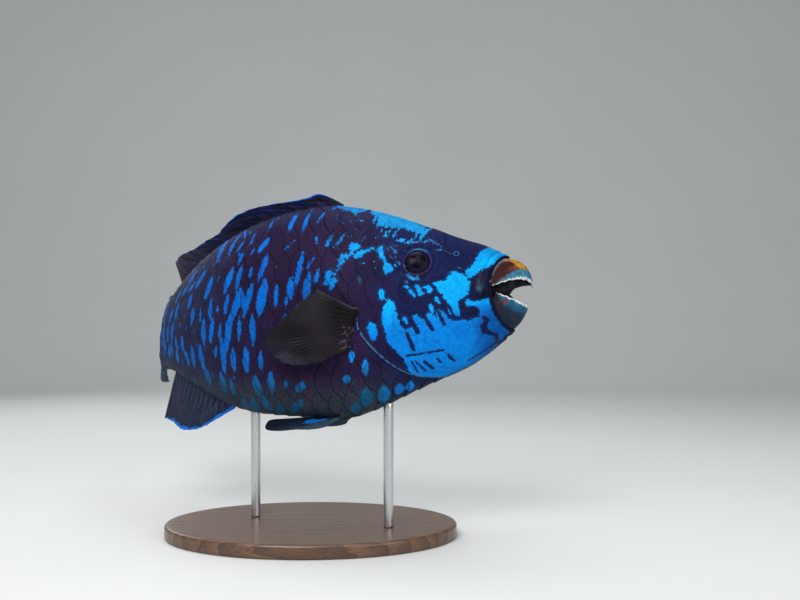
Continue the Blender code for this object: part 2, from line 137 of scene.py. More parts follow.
def pose_matrix():
    cy, sy, cp, sp, cr, sr = (f(a) for a in (YAW, PITCH, ROLL) for f in (math.cos, math.sin))
    yaw = np.array([[cy, -sy, 0], [sy, cy, 0], [0, 0, 1]])
    pitch = np.array([[cp, 0, -sp], [0, 1, 0], [sp, 0, cp]])
    roll = np.array([[1, 0, 0], [0, cr, sr], [0, -sr, cr]])
    return yaw @ pitch @ roll


POSE = pose_matrix()


def place(t, y, z):
    t, y, z = np.broadcast_arrays(np.asarray(t, float), y, z)
    px, py = np.interp(t, SPINE_T, SPINE_X), np.interp(t, SPINE_T, SPINE_Y)
    turn = np.interp(t, SPINE_T, SPINE_TURN)
    twist = TAIL_TWIST * np.clip((t - 0.35) / 0.65, 0, 1.6)
    y2 = y * np.cos(twist) - z * np.sin(twist)
    z2 = y * np.sin(twist) + z * np.cos(twist)
    at = np.stack([px - np.sin(turn) * y2, py + np.cos(turn) * y2, z2], -1)
    return at @ POSE.T + BELLY_REF


def section(t, tau):
    t, tau = np.broadcast_arrays(np.asarray(t, float), np.asarray(tau, float))
    top, low, mid = back(t) * SL, -belly(t) * SL, wide_level(t) * SL
    c, s = np.cos(tau), np.sin(tau)
    n = np.where(c > 0, round_up(t), round_down(t))
    q = (np.abs(c) ** n + np.abs(s) ** n) ** (-1 / n)
    z = mid + np.where(c > 0, top - mid, mid - low) * q * c
    return -half_width(t) * SL * q * s, z


def body(t, tau, sunk=0.0):
    """World point on the body's form, or sunk metres towards the spine."""
    y, z = section(t, tau)
    k = np.maximum(1 - np.asarray(sunk) / np.hypot(y, z), 0)
    return place(t, y * k, z * k)


def over(t, tau, out):
    """World point out metres off the body's form, square to it."""
    e = 1e-3
    n = np.cross(body(t + e, tau) - body(t - e, tau), body(t, tau + e) - body(t, tau - e))
    n /= np.linalg.norm(n, axis=-1, keepdims=True) + 1e-12
    p = body(t, tau)
    flip = np.sign(np.sum(n * (p - place(t, 0, 0)), -1, keepdims=True))
    return p + n * flip * np.asarray(out)[..., None]


def lip_t(tau):
    c = np.cos(tau)
    k = np.where(c > 0.15, (c - 0.15) / 0.85, (0.15 - c) / 1.15)
    tip = np.where(c > 0.15, LIP_TOP_T, LIP_CHIN_T)
    return MOUTH_CORNER_T - (MOUTH_CORNER_T - tip) * k**2


gill_edge = spline(
    (0.0, 0.55, 0.95, 1.25, 1.42, 1.56, 1.72, 1.90, 2.18, 2.60, 2.90, math.pi),
    (0.300, 0.303, 0.320, 0.345, 0.329, 0.312, 0.308, 0.292, 0.257, 0.200, 0.160, 0.152),
)
cheek_edge = spline(
    (0.0, 0.80, 1.27, 1.69, 2.18, 2.60, math.pi),
    (0.255, 0.258, 0.262, 0.245, 0.180, 0.130, 0.10),
)


def folded(tau):
    return np.abs((np.asarray(tau) + math.pi) % (2 * math.pi) - math.pi)


def smooth(x, a, b):
    k = np.clip((np.asarray(x, float) - a) / (b - a), 0, 1)
    return k * k * (3 - 2 * k)


def ripple(x, y, z, seed, freq):
    """Smooth noise in about -1 to 1 from a few waves; the same every time."""
    rng = np.random.RandomState(seed)
    total = 0
    for _ in range(9):
        d = rng.normal(size=3)
        d *= freq * rng.uniform(0.6, 1.6) / np.linalg.norm(d)
        total = total + np.sin(d[0] * x + d[1] * y + d[2] * z + rng.uniform(0, 6.28))
    return total / 3.2


# ---------------------------------------------------------------- surface measure, in mm
ARC_T = np.linspace(-0.06, 1.10, 291)
ARC_TAU = np.linspace(0, math.pi, 361)


def arc_tables():
    y, z = section(ARC_T[:, None], ARC_TAU[None, :])
    seg = np.hypot(np.diff(y, axis=1), np.diff(z, axis=1)) * 1000
    run = np.concatenate([np.zeros((len(ARC_T), 1)), np.cumsum(seg, axis=1)], axis=1)
    arcs = run[:, 180:181] - run
    share = np.linspace(-1, 1, 401)
    taus = np.empty((len(ARC_T), 401))
    for i, row in enumerate(arcs):
        want = np.where(share > 0, share * row[0], -share * row[-1])
        taus[i] = np.interp(-want, -row, ARC_TAU)
    return arcs, taus


ARCS, TAUS = arc_tables()


def grid_at(table, t, k):
    """Bilinear look-up; k is the float column."""
    i = np.clip((np.asarray(t, float) - ARC_T[0]) / (ARC_T[1] - ARC_T[0]), 0, len(ARC_T) - 1.001)
    k = np.clip(k, 0, table.shape[1] - 1.001)
    i, k = np.broadcast_arrays(i, k)
    a, b = i.astype(int), k.astype(int)
    u, v = i - a, k - b
    return (
        table[a, b] * (1 - u) * (1 - v)
        + table[a + 1, b] * u * (1 - v)
        + table[a, b + 1] * (1 - u) * v
        + table[a + 1, b + 1] * u * v
    )


def arc(t, tau):
    """mm along the girth from the middle of the side, up positive."""
    return grid_at(ARCS, t, np.asarray(tau) / math.pi * 360)


def arc_up(t):
    return grid_at(ARCS, t, 0.0)


def arc_down(t):
    return grid_at(ARCS, t, 360.0)


def share_of(t, tau):
    a = arc(t, tau)
    return np.where(a > 0, a / arc_up(t), -a / arc_down(t))


def tau_of_share(t, share):
    return grid_at(TAUS, t, (np.asarray(share) + 1) * 200)


def tau_of_arc(t, a):
    share = np.where(a > 0, a / arc_up(t), -a / arc_down(t))
    return tau_of_share(t, np.clip(share, -1, 1))


# ---------------------------------------------------------------- the markings
# Loops and strokes on the right side, as (t, tau); the left side has them too,
# a little shifted. Widths are in mm.
BLUE_LOOPS = {
    "snout_stripe": (
        (0.003, 0.00), (0.006, 0.35), (0.019, 0.654), (0.037, 0.878), (0.057, 1.029), (0.074, 1.133), (0.089, 1.218),
        (0.097, 1.242), (0.103, 1.183), (0.091, 1.060), (0.082, 0.945), (0.073, 0.770), (0.066, 0.620), (0.054, 0.460),
        (0.043, 0.20), (0.038, 0.00),
    ),
    "cheek_patch": (
        (0.163, 1.317), (0.154, 1.302), (0.139, 1.294), (0.134, 1.230), (0.126, 1.160), (0.119, 1.138), (0.110, 1.169),
        (0.102, 1.202), (0.094, 1.266), (0.094, 1.348), (0.098, 1.454), (0.102, 1.521), (0.115, 1.560), (0.119, 1.605),
        (0.118, 1.673), (0.117, 1.741), (0.119, 1.803), (0.128, 1.798), (0.136, 1.746), (0.138, 1.679), (0.135, 1.628),
        (0.142, 1.550), (0.148, 1.472), (0.153, 1.426), (0.159, 1.367),
    ),
    "jaw": (
        (0.245, 1.477), (0.234, 1.510), (0.234, 1.612), (0.231, 1.719), (0.223, 1.815), (0.212, 1.843), (0.204, 1.777),
        (0.204, 1.693), (0.198, 1.678), (0.191, 1.700), (0.186, 1.757), (0.177, 1.679), (0.169, 1.689), (0.160, 1.776),
        (0.161, 1.683), (0.158, 1.648), (0.146, 1.693), (0.139, 1.790), (0.131, 1.850), (0.118, 1.856), (0.105, 1.881),
        (0.085, 1.890), (0.079, 1.897), (0.082, 1.803), (0.086, 1.740), (0.101, 1.680), (0.107, 1.620), (0.104, 1.563),
        (0.094, 1.619), (0.083, 1.625), (0.065, 1.622), (0.052, 1.687), (0.048, 1.783), (0.038, 2.008), (0.027, 2.212),
        (0.013, 2.619), (0.028, 2.680), (0.045, 2.701), (0.056, 2.935), (0.073, 3.061), (0.090, 3.141), (0.113, 3.141),
        (0.144, 3.141), (0.181, 2.721), (0.206, 2.548), (0.222, 2.389), (0.224, 2.257), (0.229, 2.150), (0.245, 2.018),
        (0.254, 1.925), (0.257, 1.783), (0.260, 1.657), (0.256, 1.550),
    ),
    "under_eye": ((0.182, 1.356), (0.169, 1.351), (0.163, 1.394), (0.165, 1.435), (0.170, 1.447), (0.176, 1.404)),
    "behind_eye": (
        (0.247, 1.050), (0.244, 1.101), (0.236, 1.137), (0.231, 1.148), (0.234, 1.186), (0.243, 1.212), (0.247, 1.237),
        (0.252, 1.164),
    ),
    "nape": (
        (0.280, 0.10), (0.262, 0.00), (0.229, 0.00), (0.190, 0.00), (0.172, 0.06), (0.153, 0.261), (0.165, 0.530),
        (0.176, 0.660), (0.195, 0.586), (0.217, 0.586), (0.232, 0.761), (0.239, 0.604), (0.258, 0.636), (0.268, 0.430),
    ),
    "dorsal_front": ((0.354, 0.00), (0.310, 0.00), (0.280, 0.00), (0.283, 0.190), (0.296, 0.370), (0.319, 0.360), (0.339, 0.280), (0.352, 0.160)),
    "gill_oval": (
        (0.284, 1.686), (0.273, 1.694), (0.270, 1.780), (0.271, 1.865), (0.278, 1.894), (0.285, 1.840), (0.288, 1.755),
    ),
}
BLUE_STROKES = (  # t, tau, t, tau, half width
    (0.212, 1.352, 0.208, 1.389, 1.4), (0.206, 1.384, 0.198, 1.455, 1.6), (0.191, 1.374, 0.187, 1.440, 2.3),
    (0.159, 1.508, 0.155, 1.561, 1.6), (0.171, 1.590, 0.168, 1.660, 1.4), (0.219, 1.692, 0.215, 1.757, 2.0),
    (0.254, 0.931, 0.254, 1.040, 2.1), (0.258, 1.402, 0.256, 1.463, 2.5), (0.216, 0.785, 0.213, 0.790, 1.8),
    (0.194, 0.742, 0.192, 0.743, 1.6), (0.181, 0.646, 0.177, 0.607, 2.1), (0.310, 0.935, 0.297, 0.925, 2.6),
    (0.298, 0.933, 0.309, 1.006, 1.7), (0.301, 1.048, 0.287, 0.998, 2.2), (0.291, 0.998, 0.272, 0.955, 2.0),
    (0.332, 1.087, 0.319, 1.024, 1.5), (0.326, 1.108, 0.309, 1.019, 1.1), (0.339, 1.169, 0.324, 1.098, 1.2),
    (0.342, 1.224, 0.334, 1.171, 0.9), (0.351, 1.203, 0.358, 1.302, 2.6), (0.341, 1.271, 0.348, 1.342, 2.3),
    (0.372, 1.187, 0.377, 1.284, 1.6), (0.347, 0.838, 0.354, 0.920, 1.5), (0.326, 0.838, 0.337, 0.922, 1.0),
)
# Thin grey-blue scribbles round the eye and before it.
SCRIBBLES = (
    (0.157, 0.734, 0.143, 0.621, 0.5), (0.235, 0.899, 0.226, 0.969, 0.7), (0.227, 1.066, 0.222, 1.111, 0.6),
    (0.216, 1.231, 0.200, 1.262, 0.8), (0.200, 1.262, 0.184, 1.276, 0.7), (0.150, 0.728, 0.140, 0.760, 0.6),
    (0.152, 0.849, 0.141, 0.826, 0.5), (0.134, 0.828, 0.125, 0.862, 0.6), (0.222, 0.800, 0.208, 0.815, 0.5),
    (0.198, 0.800, 0.186, 0.776, 0.6), (0.180, 0.755, 0.168, 0.742, 0.5), (0.246, 0.900, 0.240, 0.960, 0.6),
    (0.238, 1.010, 0.232, 1.060, 0.5), (0.166, 0.700, 0.158, 0.690, 0.7), (0.119, 1.060, 0.108, 1.090, 0.6),
    (0.298, 1.240, 0.295, 1.305, 0.8), (0.213, 1.300, 0.205, 1.318, 0.6),
)
DARK_STROKES = (
    (0.217, 1.885, 0.208, 2.102, 1.8), (0.222, 2.157, 0.154, 2.238, 1.0), (0.214, 2.258, 0.205, 2.469, 0.9),
    (0.207, 2.269, 0.190, 2.508, 0.8), (0.191, 2.314, 0.176, 2.520, 1.4), (0.166, 2.341, 0.161, 2.435, 1.0),
    (0.145, 2.358, 0.135, 2.504, 1.4), (0.104, 1.762, 0.091, 1.785, 5.7), (0.115, 1.618, 0.107, 1.568, 1.8),
    (0.073, 1.923, 0.068, 1.980, 2.1), (0.068, 1.980, 0.074, 2.083, 2.5), (0.074, 2.083, 0.073, 2.166, 3.4),
    (0.073, 2.166, 0.052, 2.385, 2.3), (0.052, 2.385, 0.048, 2.642, 2.1), (0.048, 2.642, 0.064, 2.655, 1.6),
    (0.064, 2.655, 0.108, 2.661, 0.7), (0.159, 1.662, 0.148, 1.871, 1.6), (0.184, 1.708, 0.170, 1.906, 1.8),
    (0.210, 1.701, 0.197, 1.893, 2.3), (0.151, 1.543, 0.137, 1.626, 1.4), (0.137, 1.626, 0.130, 1.787, 1.4),
    (0.130, 1.787, 0.118, 1.843, 1.6),
)
# The upright dashes of the scales, one to a scale: top and bottom end, full width.
DASHES = (
    (0.344, 0.19, 0.354, 0.32, 1.5), (0.365, 0.36, 0.380, 0.63, 2.0), (0.397, 0.28, 0.406, 0.72, 4.0),
    (0.428, 0.31, 0.435, 0.66, 5.5), (0.459, 0.30, 0.492, 0.32, 2.0), (0.484, 0.40, 0.489, 0.60, 3.0),
    (0.483, 0.72, 0.500, 0.89, 6.5), (0.480, 0.94, 0.495, 1.21, 6.5), (0.479, 1.24, 0.492, 1.55, 10.0),
    (0.523, 0.56, 0.525, 0.74, 3.0), (0.512, 0.82, 0.522, 0.91, 3.0), (0.573, 0.18, 0.549, 0.58, 3.5),
    (0.552, 0.62, 0.561, 0.76, 4.5), (0.543, 0.83, 0.551, 0.98, 4.5), (0.626, 0.25, 0.628, 0.81, 10.5),
    (0.579, 0.46, 0.588, 0.74, 6.5), (0.568, 1.04, 0.583, 1.28, 9.0), (0.542, 1.04, 0.550, 1.27, 6.5),
    (0.537, 1.29, 0.555, 1.55, 9.5), (0.514, 1.07, 0.517, 1.17, 4.5), (0.508, 1.24, 0.529, 1.56, 7.5),
    (0.453, 1.29, 0.456, 1.47, 4.5), (0.424, 1.24, 0.426, 1.42, 6.5), (0.434, 1.42, 0.436, 1.50, 3.5),
    (0.402, 1.00, 0.413, 1.29, 5.0), (0.380, 1.04, 0.393, 1.15, 2.5), (0.389, 1.22, 0.398, 1.45, 7.0),
    (0.371, 1.17, 0.377, 1.28, 2.0), (0.401, 1.45, 0.421, 1.52, 3.0), (0.436, 1.53, 0.440, 1.60, 2.5),
    (0.509, 1.56, 0.511, 1.86, 6.5), (0.540, 1.57, 0.545, 1.80, 4.0), (0.572, 1.32, 0.580, 1.53, 5.5),
    (0.564, 1.53, 0.583, 1.92, 11.0), (0.594, 1.79, 0.597, 2.18, 8.0), (0.594, 1.62, 0.599, 1.77, 3.5),
    (0.612, 1.88, 0.616, 1.98, 3.5), (0.618, 1.56, 0.627, 1.82, 6.5), (0.626, 1.34, 0.628, 1.55, 5.5),
    (0.602, 1.43, 0.605, 1.49, 3.0), (0.658, 2.23, 0.660, 2.43, 8.5), (0.612, 2.21, 0.614, 2.51, 8.0),
    (0.583, 2.26, 0.587, 2.49, 6.5), (0.566, 1.91, 0.568, 2.12, 8.0), (0.532, 1.89, 0.536, 2.13, 8.0),
    (0.497, 1.94, 0.501, 2.11, 5.5), (0.519, 2.20, 0.521, 2.44, 8.5), (0.482, 2.14, 0.489, 2.39, 8.0),
    (0.451, 2.23, 0.459, 2.32, 5.0), (0.566, 2.56, 0.579, 2.86, 10.0), (0.540, 2.54, 0.554, 2.90, 8.5),
    (0.511, 2.48, 0.511, 2.76, 9.0), (0.479, 2.62, 0.498, 2.87, 8.0), (0.435, 2.50, 0.458, 2.76, 9.5),
    (0.423, 2.26, 0.428, 2.34, 7.5), (0.336, 2.21, 0.337, 2.26, 5.5), (0.345, 0.79, 0.357, 0.93, 2.0),
    (0.323, 0.79, 0.339, 0.94, 2.0), (0.376, 0.80, 0.376, 0.89, 1.0), (0.529, 1.33, 0.534, 1.47, 2.0),
    (0.488, 0.51, 0.487, 0.34, 2.0), (0.423, 0.84, 0.444, 0.94, 3.5), (0.717, 0.71, 0.736, 0.87, 10.5),
    (0.669, 0.88, 0.691, 1.07, 9.0), (0.633, 1.08, 0.647, 1.29, 10.0), (0.708, 0.98, 0.725, 1.06, 8.0),
    (0.714, 1.17, 0.719, 1.34, 9.0), (0.694, 1.39, 0.700, 1.57, 9.5), (0.747, 0.94, 0.769, 1.07, 8.5),
    (0.779, 0.95, 0.819, 1.07, 12.0), (0.786, 1.21, 0.793, 1.44, 10.0), (0.826, 1.25, 0.846, 1.44, 15.0),
    (0.910, 1.09, 0.904, 1.45, 20.0), (0.809, 1.50, 0.819, 1.83, 13.5), (0.851, 1.55, 0.853, 1.84, 11.0),
    (0.901, 1.50, 0.896, 1.81, 12.5), (0.751, 1.79, 0.751, 1.99, 12.0), (0.788, 1.79, 0.782, 2.01, 8.0),
    (0.738, 2.01, 0.730, 2.22, 9.5), (0.703, 1.94, 0.704, 2.24, 9.0), (0.669, 1.91, 0.667, 2.20, 10.0),
    (0.650, 1.57, 0.651, 1.85, 10.0), (0.630, 1.42, 0.627, 1.53, 5.5), (0.663, 1.43, 0.665, 1.57, 3.0),
    (0.660, 2.19, 0.656, 2.32, 6.0), (0.844, 1.96, 0.852, 2.27, 9.5), (0.886, 1.89, 0.891, 2.20, 9.0),
    (0.298, 2.07, 0.302, 2.22, 6.5), (0.319, 1.97, 0.320, 2.05, 5.0), (0.334, 2.21, 0.337, 2.27, 7.0),
    (0.306, 2.43, 0.312, 2.69, 10.5), (0.272, 2.50, 0.277, 2.79, 10.0), (0.243, 2.57, 0.246, 2.76, 7.5),
    (0.223, 2.61, 0.226, 2.85, 6.0), (0.331, 2.63, 0.335, 2.81, 8.0), (0.427, 2.28, 0.431, 2.35, 9.0),
    (0.790, 2.05, 0.790, 2.27, 9.0), (0.820, 1.89, 0.826, 2.18, 9.0),
)

# linear colours
HEAD_BLUE = np.array([0.0005, 0.350, 0.790])
JAW_BLUE = np.array([0.0005, 0.200, 0.640])
BODY_BLUE = np.array([0.001, 0.122, 0.500])
CHIN_BLUE = np.array([0.001, 0.085, 0.330])
BELLY_TEAL = np.array([0.012, 0.120, 0.250])
MAROON = np.array([0.0150, 0.0075, 0.0290])
NAVY = np.array([0.0040, 0.0120, 0.0560])
HEAD_DARK = np.array([0.0012, 0.0075, 0.0460])
BELLY_DARK = np.array([0.0260, 0.0360, 0.0460])
REAR_DARK = np.array([0.0140, 0.0240, 0.0600])
LIP_DARK = np.array([0.0022, 0.0038, 0.0150])
MOUTH_FLESH = np.array([0.013, 0.011, 0.014])


def rounded_loop(points):
    """The loop with its corners cut twice, in mm on the surface."""
    p = np.array([(t * SL * 1000, arc(t, tau)) for t, tau in points], float)
    for _ in range(2):
        q = np.roll(p, -1, axis=0)
        p = np.stack([0.78 * p + 0.22 * q, 0.22 * p + 0.78 * q], 1).reshape(-1, 2)
    return p


def inside_loop(x, a, loop):
    """Signed distance in mm to a loop, positive inside."""
    out = np.full(x.shape, -9.0)
    near = (x > loop[:, 0].min() - 8) & (x < loop[:, 0].max() + 8) & (a > loop[:, 1].min() - 8) & (a < loop[:, 1].max() + 8)
    px, pa = x[near], a[near]
    if not px.size:
        return out
    best, odd = np.full(px.shape, 1e9), np.zeros(px.shape, bool)
    for (x0, a0), (x1, a1) in zip(loop, np.roll(loop, -1, axis=0)):
        dx, da = x1 - x0, a1 - a0
        k = np.clip(((px - x0) * dx + (pa - a0) * da) / (dx * dx + da * da + 1e-9), 0, 1)
        best = np.minimum(best, (px - x0 - k * dx) ** 2 + (pa - a0 - k * da) ** 2)
        if abs(da) > 1e-9:
            hit = ((a0 > pa) != (a1 > pa)) & (px < dx * (pa - a0) / da + x0)
            odd ^= hit
    out[near] = np.where(odd, 1, -1) * np.sqrt(best)
    return out


def along_stroke(x, a, stroke):
    t0, u0, t1, u1, r = stroke
    x0, a0, x1, a1 = t0 * SL * 1000, float(arc(t0, u0)), t1 * SL * 1000, float(arc(t1, u1))
    out = np.full(x.shape, -9.0)
    near = (x > min(x0, x1) - r - 8) & (x < max(x0, x1) + r + 8) & (a > min(a0, a1) - r - 8) & (a < max(a0, a1) + r + 8)
    px, pa = x[near], a[near]
    dx, da = x1 - x0, a1 - a0
    k = np.clip(((px - x0) * dx + (pa - a0) * da) / (dx * dx + da * da + 1e-9), 0, 1)
    out[near] = r - np.hypot(px - x0 - k * dx, pa - a0 - k * da)
    return out


def lens(x, a, x0, a0, half_long, half_wide, slant):
    """A dash: a lens standing across the scale row."""
    out = np.full(x.shape, -9.0)
    near = (np.abs(a - a0) < half_long + 6) & (np.abs(x - x0) < half_wide + abs(slant) * half_long + 7)
    v = a[near] - a0
    u = x[near] - x0 - slant * v
    w = half_wide * (1 - np.clip(np.abs(v) / half_long, 0, 1) ** 1.9) ** 0.95
    out[near] = np.where(np.abs(v) < half_long, w - np.abs(u), -np.hypot(np.maximum(np.abs(u) - 0.1, 0), np.abs(v) - half_long))
    return out


# ---------------------------------------------------------------- where the scales sit
def scale_step(t):
    return SCALE_STEP * (1 - 0.26 * smooth(t, 0.78, 1.0))


def scale_columns():
    """Stations of the scales' middles, every half step, from nape to tail."""
    t, out = 0.487 + 0.0155 * 1, []
    while t > 0.13:
        t -= scale_step(t) / 2
    while t < 1.005:
        out.append(t)
        t += scale_step(t) / 2
    return out


def scale_lattice():
    """(side, row, column, t, share) of every scale of the coat."""
    found = []
    for c, t in enumerate(scale_columns()):
        for r, share in enumerate(SCALE_ROWS):
            if (c + r) % 2:
                continue
            middle = abs(share) == 1.0
            for side in (1,) if middle else (1, -1):
                shift = 0.0 if middle else 0.10 * smooth(t, 0.55, 0.85) * (1 if share > 0 else 0.35)
                s = min(share + shift * (1 - abs(share)) * 1.6, 1.0)
                tau = float(tau_of_share(t, s))
                edge = float(gill_edge(tau))
                from_eye = math.hypot((t - EYE_T) * SL * 1000, float(arc(t, tau) - arc(EYE_T, EYE_TAU)))
                if t < edge - 0.016:
                    nape = tau < 0.80 and t > 0.150 + 0.02 * tau
                    cover = 0.80 <= tau < 2.05 and t > 0.205 + 0.012 * (tau - 1.2) and t < edge - 0.020
                    if not (nape or cover) or from_eye < 27:
                        continue
                    kind = "head"
                elif t < edge + 0.006:
                    if tau > 0.75:
                        continue
                    kind = "head"
                else:
                    kind = "body"
                found.append((side, r, c, t, s, tau, kind))
    return found


LATTICE = scale_lattice()


def place_dashes():
    """Each dash moved a little towards the middle of its scale, for both sides."""
    rng = np.random.RandomState(7)
    cells = [(s, r, c, t, sh, tau) for s, r, c, t, sh, tau, kind in LATTICE if kind == "body" and s == 1]
    cx = np.array([c[3] * SL * 1000 + 1.4 for c in cells])
    ca = np.array([float(arc(c[3], c[5])) for c in cells])
    taken, right = {}, []
    for t0, u0, t1, u1, w in DASHES:
        w = min(w, 8.5) if t0 > 0.55 else w
        x0, a0, x1, a1 = t0 * SL * 1000, float(arc(t0, u0)), t1 * SL * 1000, float(arc(t1, u1))
        mx, ma = (x0 + x1) / 2, (a0 + a1) / 2
        d = np.hypot((cx - mx) / 7.75, (ca - ma) / 13)
        k = int(np.argmin(d))
        pull = 0.10 if k not in taken else 0.0
        taken.setdefault(k, []).append(1)
        mx, ma = mx + (cx[k] - mx) * pull, ma + (ca[k] - ma) * pull * 0.6
        half = max(abs(a0 - a1) / 2 * 1.10 + w * 0.22 + 0.8, w * 0.70)
        slant = np.clip((x1 - x0) / (a1 - a0 if abs(a1 - a0) > 1 else -1), -0.9, 0.9)
        right.append((mx, ma, half, max(w / 2 * (1.08 if max(u0, u1) < 2.4 else 1.30), 1.35), slant))
    left = []
    for mx, ma, half, w, slant in right:
        if rng.uniform() < 0.88:
            left.append((mx + rng.normal() * 1.5, ma + rng.normal() * 1.5, half * rng.uniform(0.8, 1.15), w * rng.uniform(0.8, 1.15), slant))
    # the tail's stem, the belly and what the near side hides
    for k, (s, r, c, t, sh, tau) in enumerate(cells):
        pitch = 0.108 * float(arc_up(t) - arc_down(t))
        fresh = (round(cx[k], 1), round(ca[k], 1))
        spec = (fresh[0] + rng.normal(), fresh[1], max(pitch * rng.uniform(0.44, 0.62), 3.2), rng.uniform(1.7, 3.0) * (1 - 0.35 * smooth(t, 0.8, 1.0)), rng.normal() * 0.08 - 0.25 * sh)
        chance, side_chance = rng.uniform(), rng.uniform()
        if k not in taken:
            if t > 0.895 and abs(sh) < 0.97 and chance < 0.92:
                right.append(spec)
            if (t > 0.865 and side_chance < 0.80) or (t <= 0.865 and abs(sh) < 0.9 and side_chance < 0.22):
                left.append((spec[0], spec[1], spec[2], spec[3], spec[4]))
    # small flecks between the dashes
    for k, (s, r, c, t, sh, tau) in enumerate(cells):
        chance, dx, da, size = rng.uniform(), rng.normal(), rng.normal(), rng.uniform(0.7, 1.2)
        near = min((math.hypot((cx[k] - q[0]) / 5.0, (ca[k] - q[1]) / 8.0) for q in right), default=9.0)
        busy = (smooth(t, 0.44, 0.54) if sh > -0.10 else smooth(t, 0.52, 0.60)) * (1 - 0.8 * smooth(t, 0.72, 0.84))
        if abs(sh) < 0.86 and chance < 0.75 * float(busy) * (1.0 if near > 0.5 else 0.5):
            spec = (cx[k] + 2.2 * dx + 1.5, ca[k] + 3.0 * da + 3.5, 3.4 * size, 1.15 * size, -0.20 * sh)
            right.append(spec)
            left.append((spec[0] + 1.2, spec[1] - 1.0, spec[2], spec[3], spec[4]))
    return right, left


DASH_SETS = dict(zip((1, -1), place_dashes()))


def drift(t, tau, side):
    """The left side's markings are those of the right, a little displaced."""
    if side == 1:
        return t, tau
    return (
        t + 0.0045 * np.sin(tau * 5.1 + 1.0) * np.cos(t * 31) * smooth(tau, 0.0, 0.5),
        np.clip(tau + 0.050 * np.sin(t * 43 + 0.7) * np.sin(tau), 0, math.pi),
    )


BLUE_MM = {n: rounded_loop(p) for n, p in BLUE_LOOPS.items()}


def eye_polar(t, tau):
    """Distance from the eye's middle in mm and the angle, 0 forward, 90 up."""
    dx, da = (EYE_T - t) * SL * 1000, arc(t, tau) - arc(np.full(np.shape(t), EYE_T), EYE_TAU)
    return np.hypot(dx, da), np.degrees(np.arctan2(da, dx)) % 360


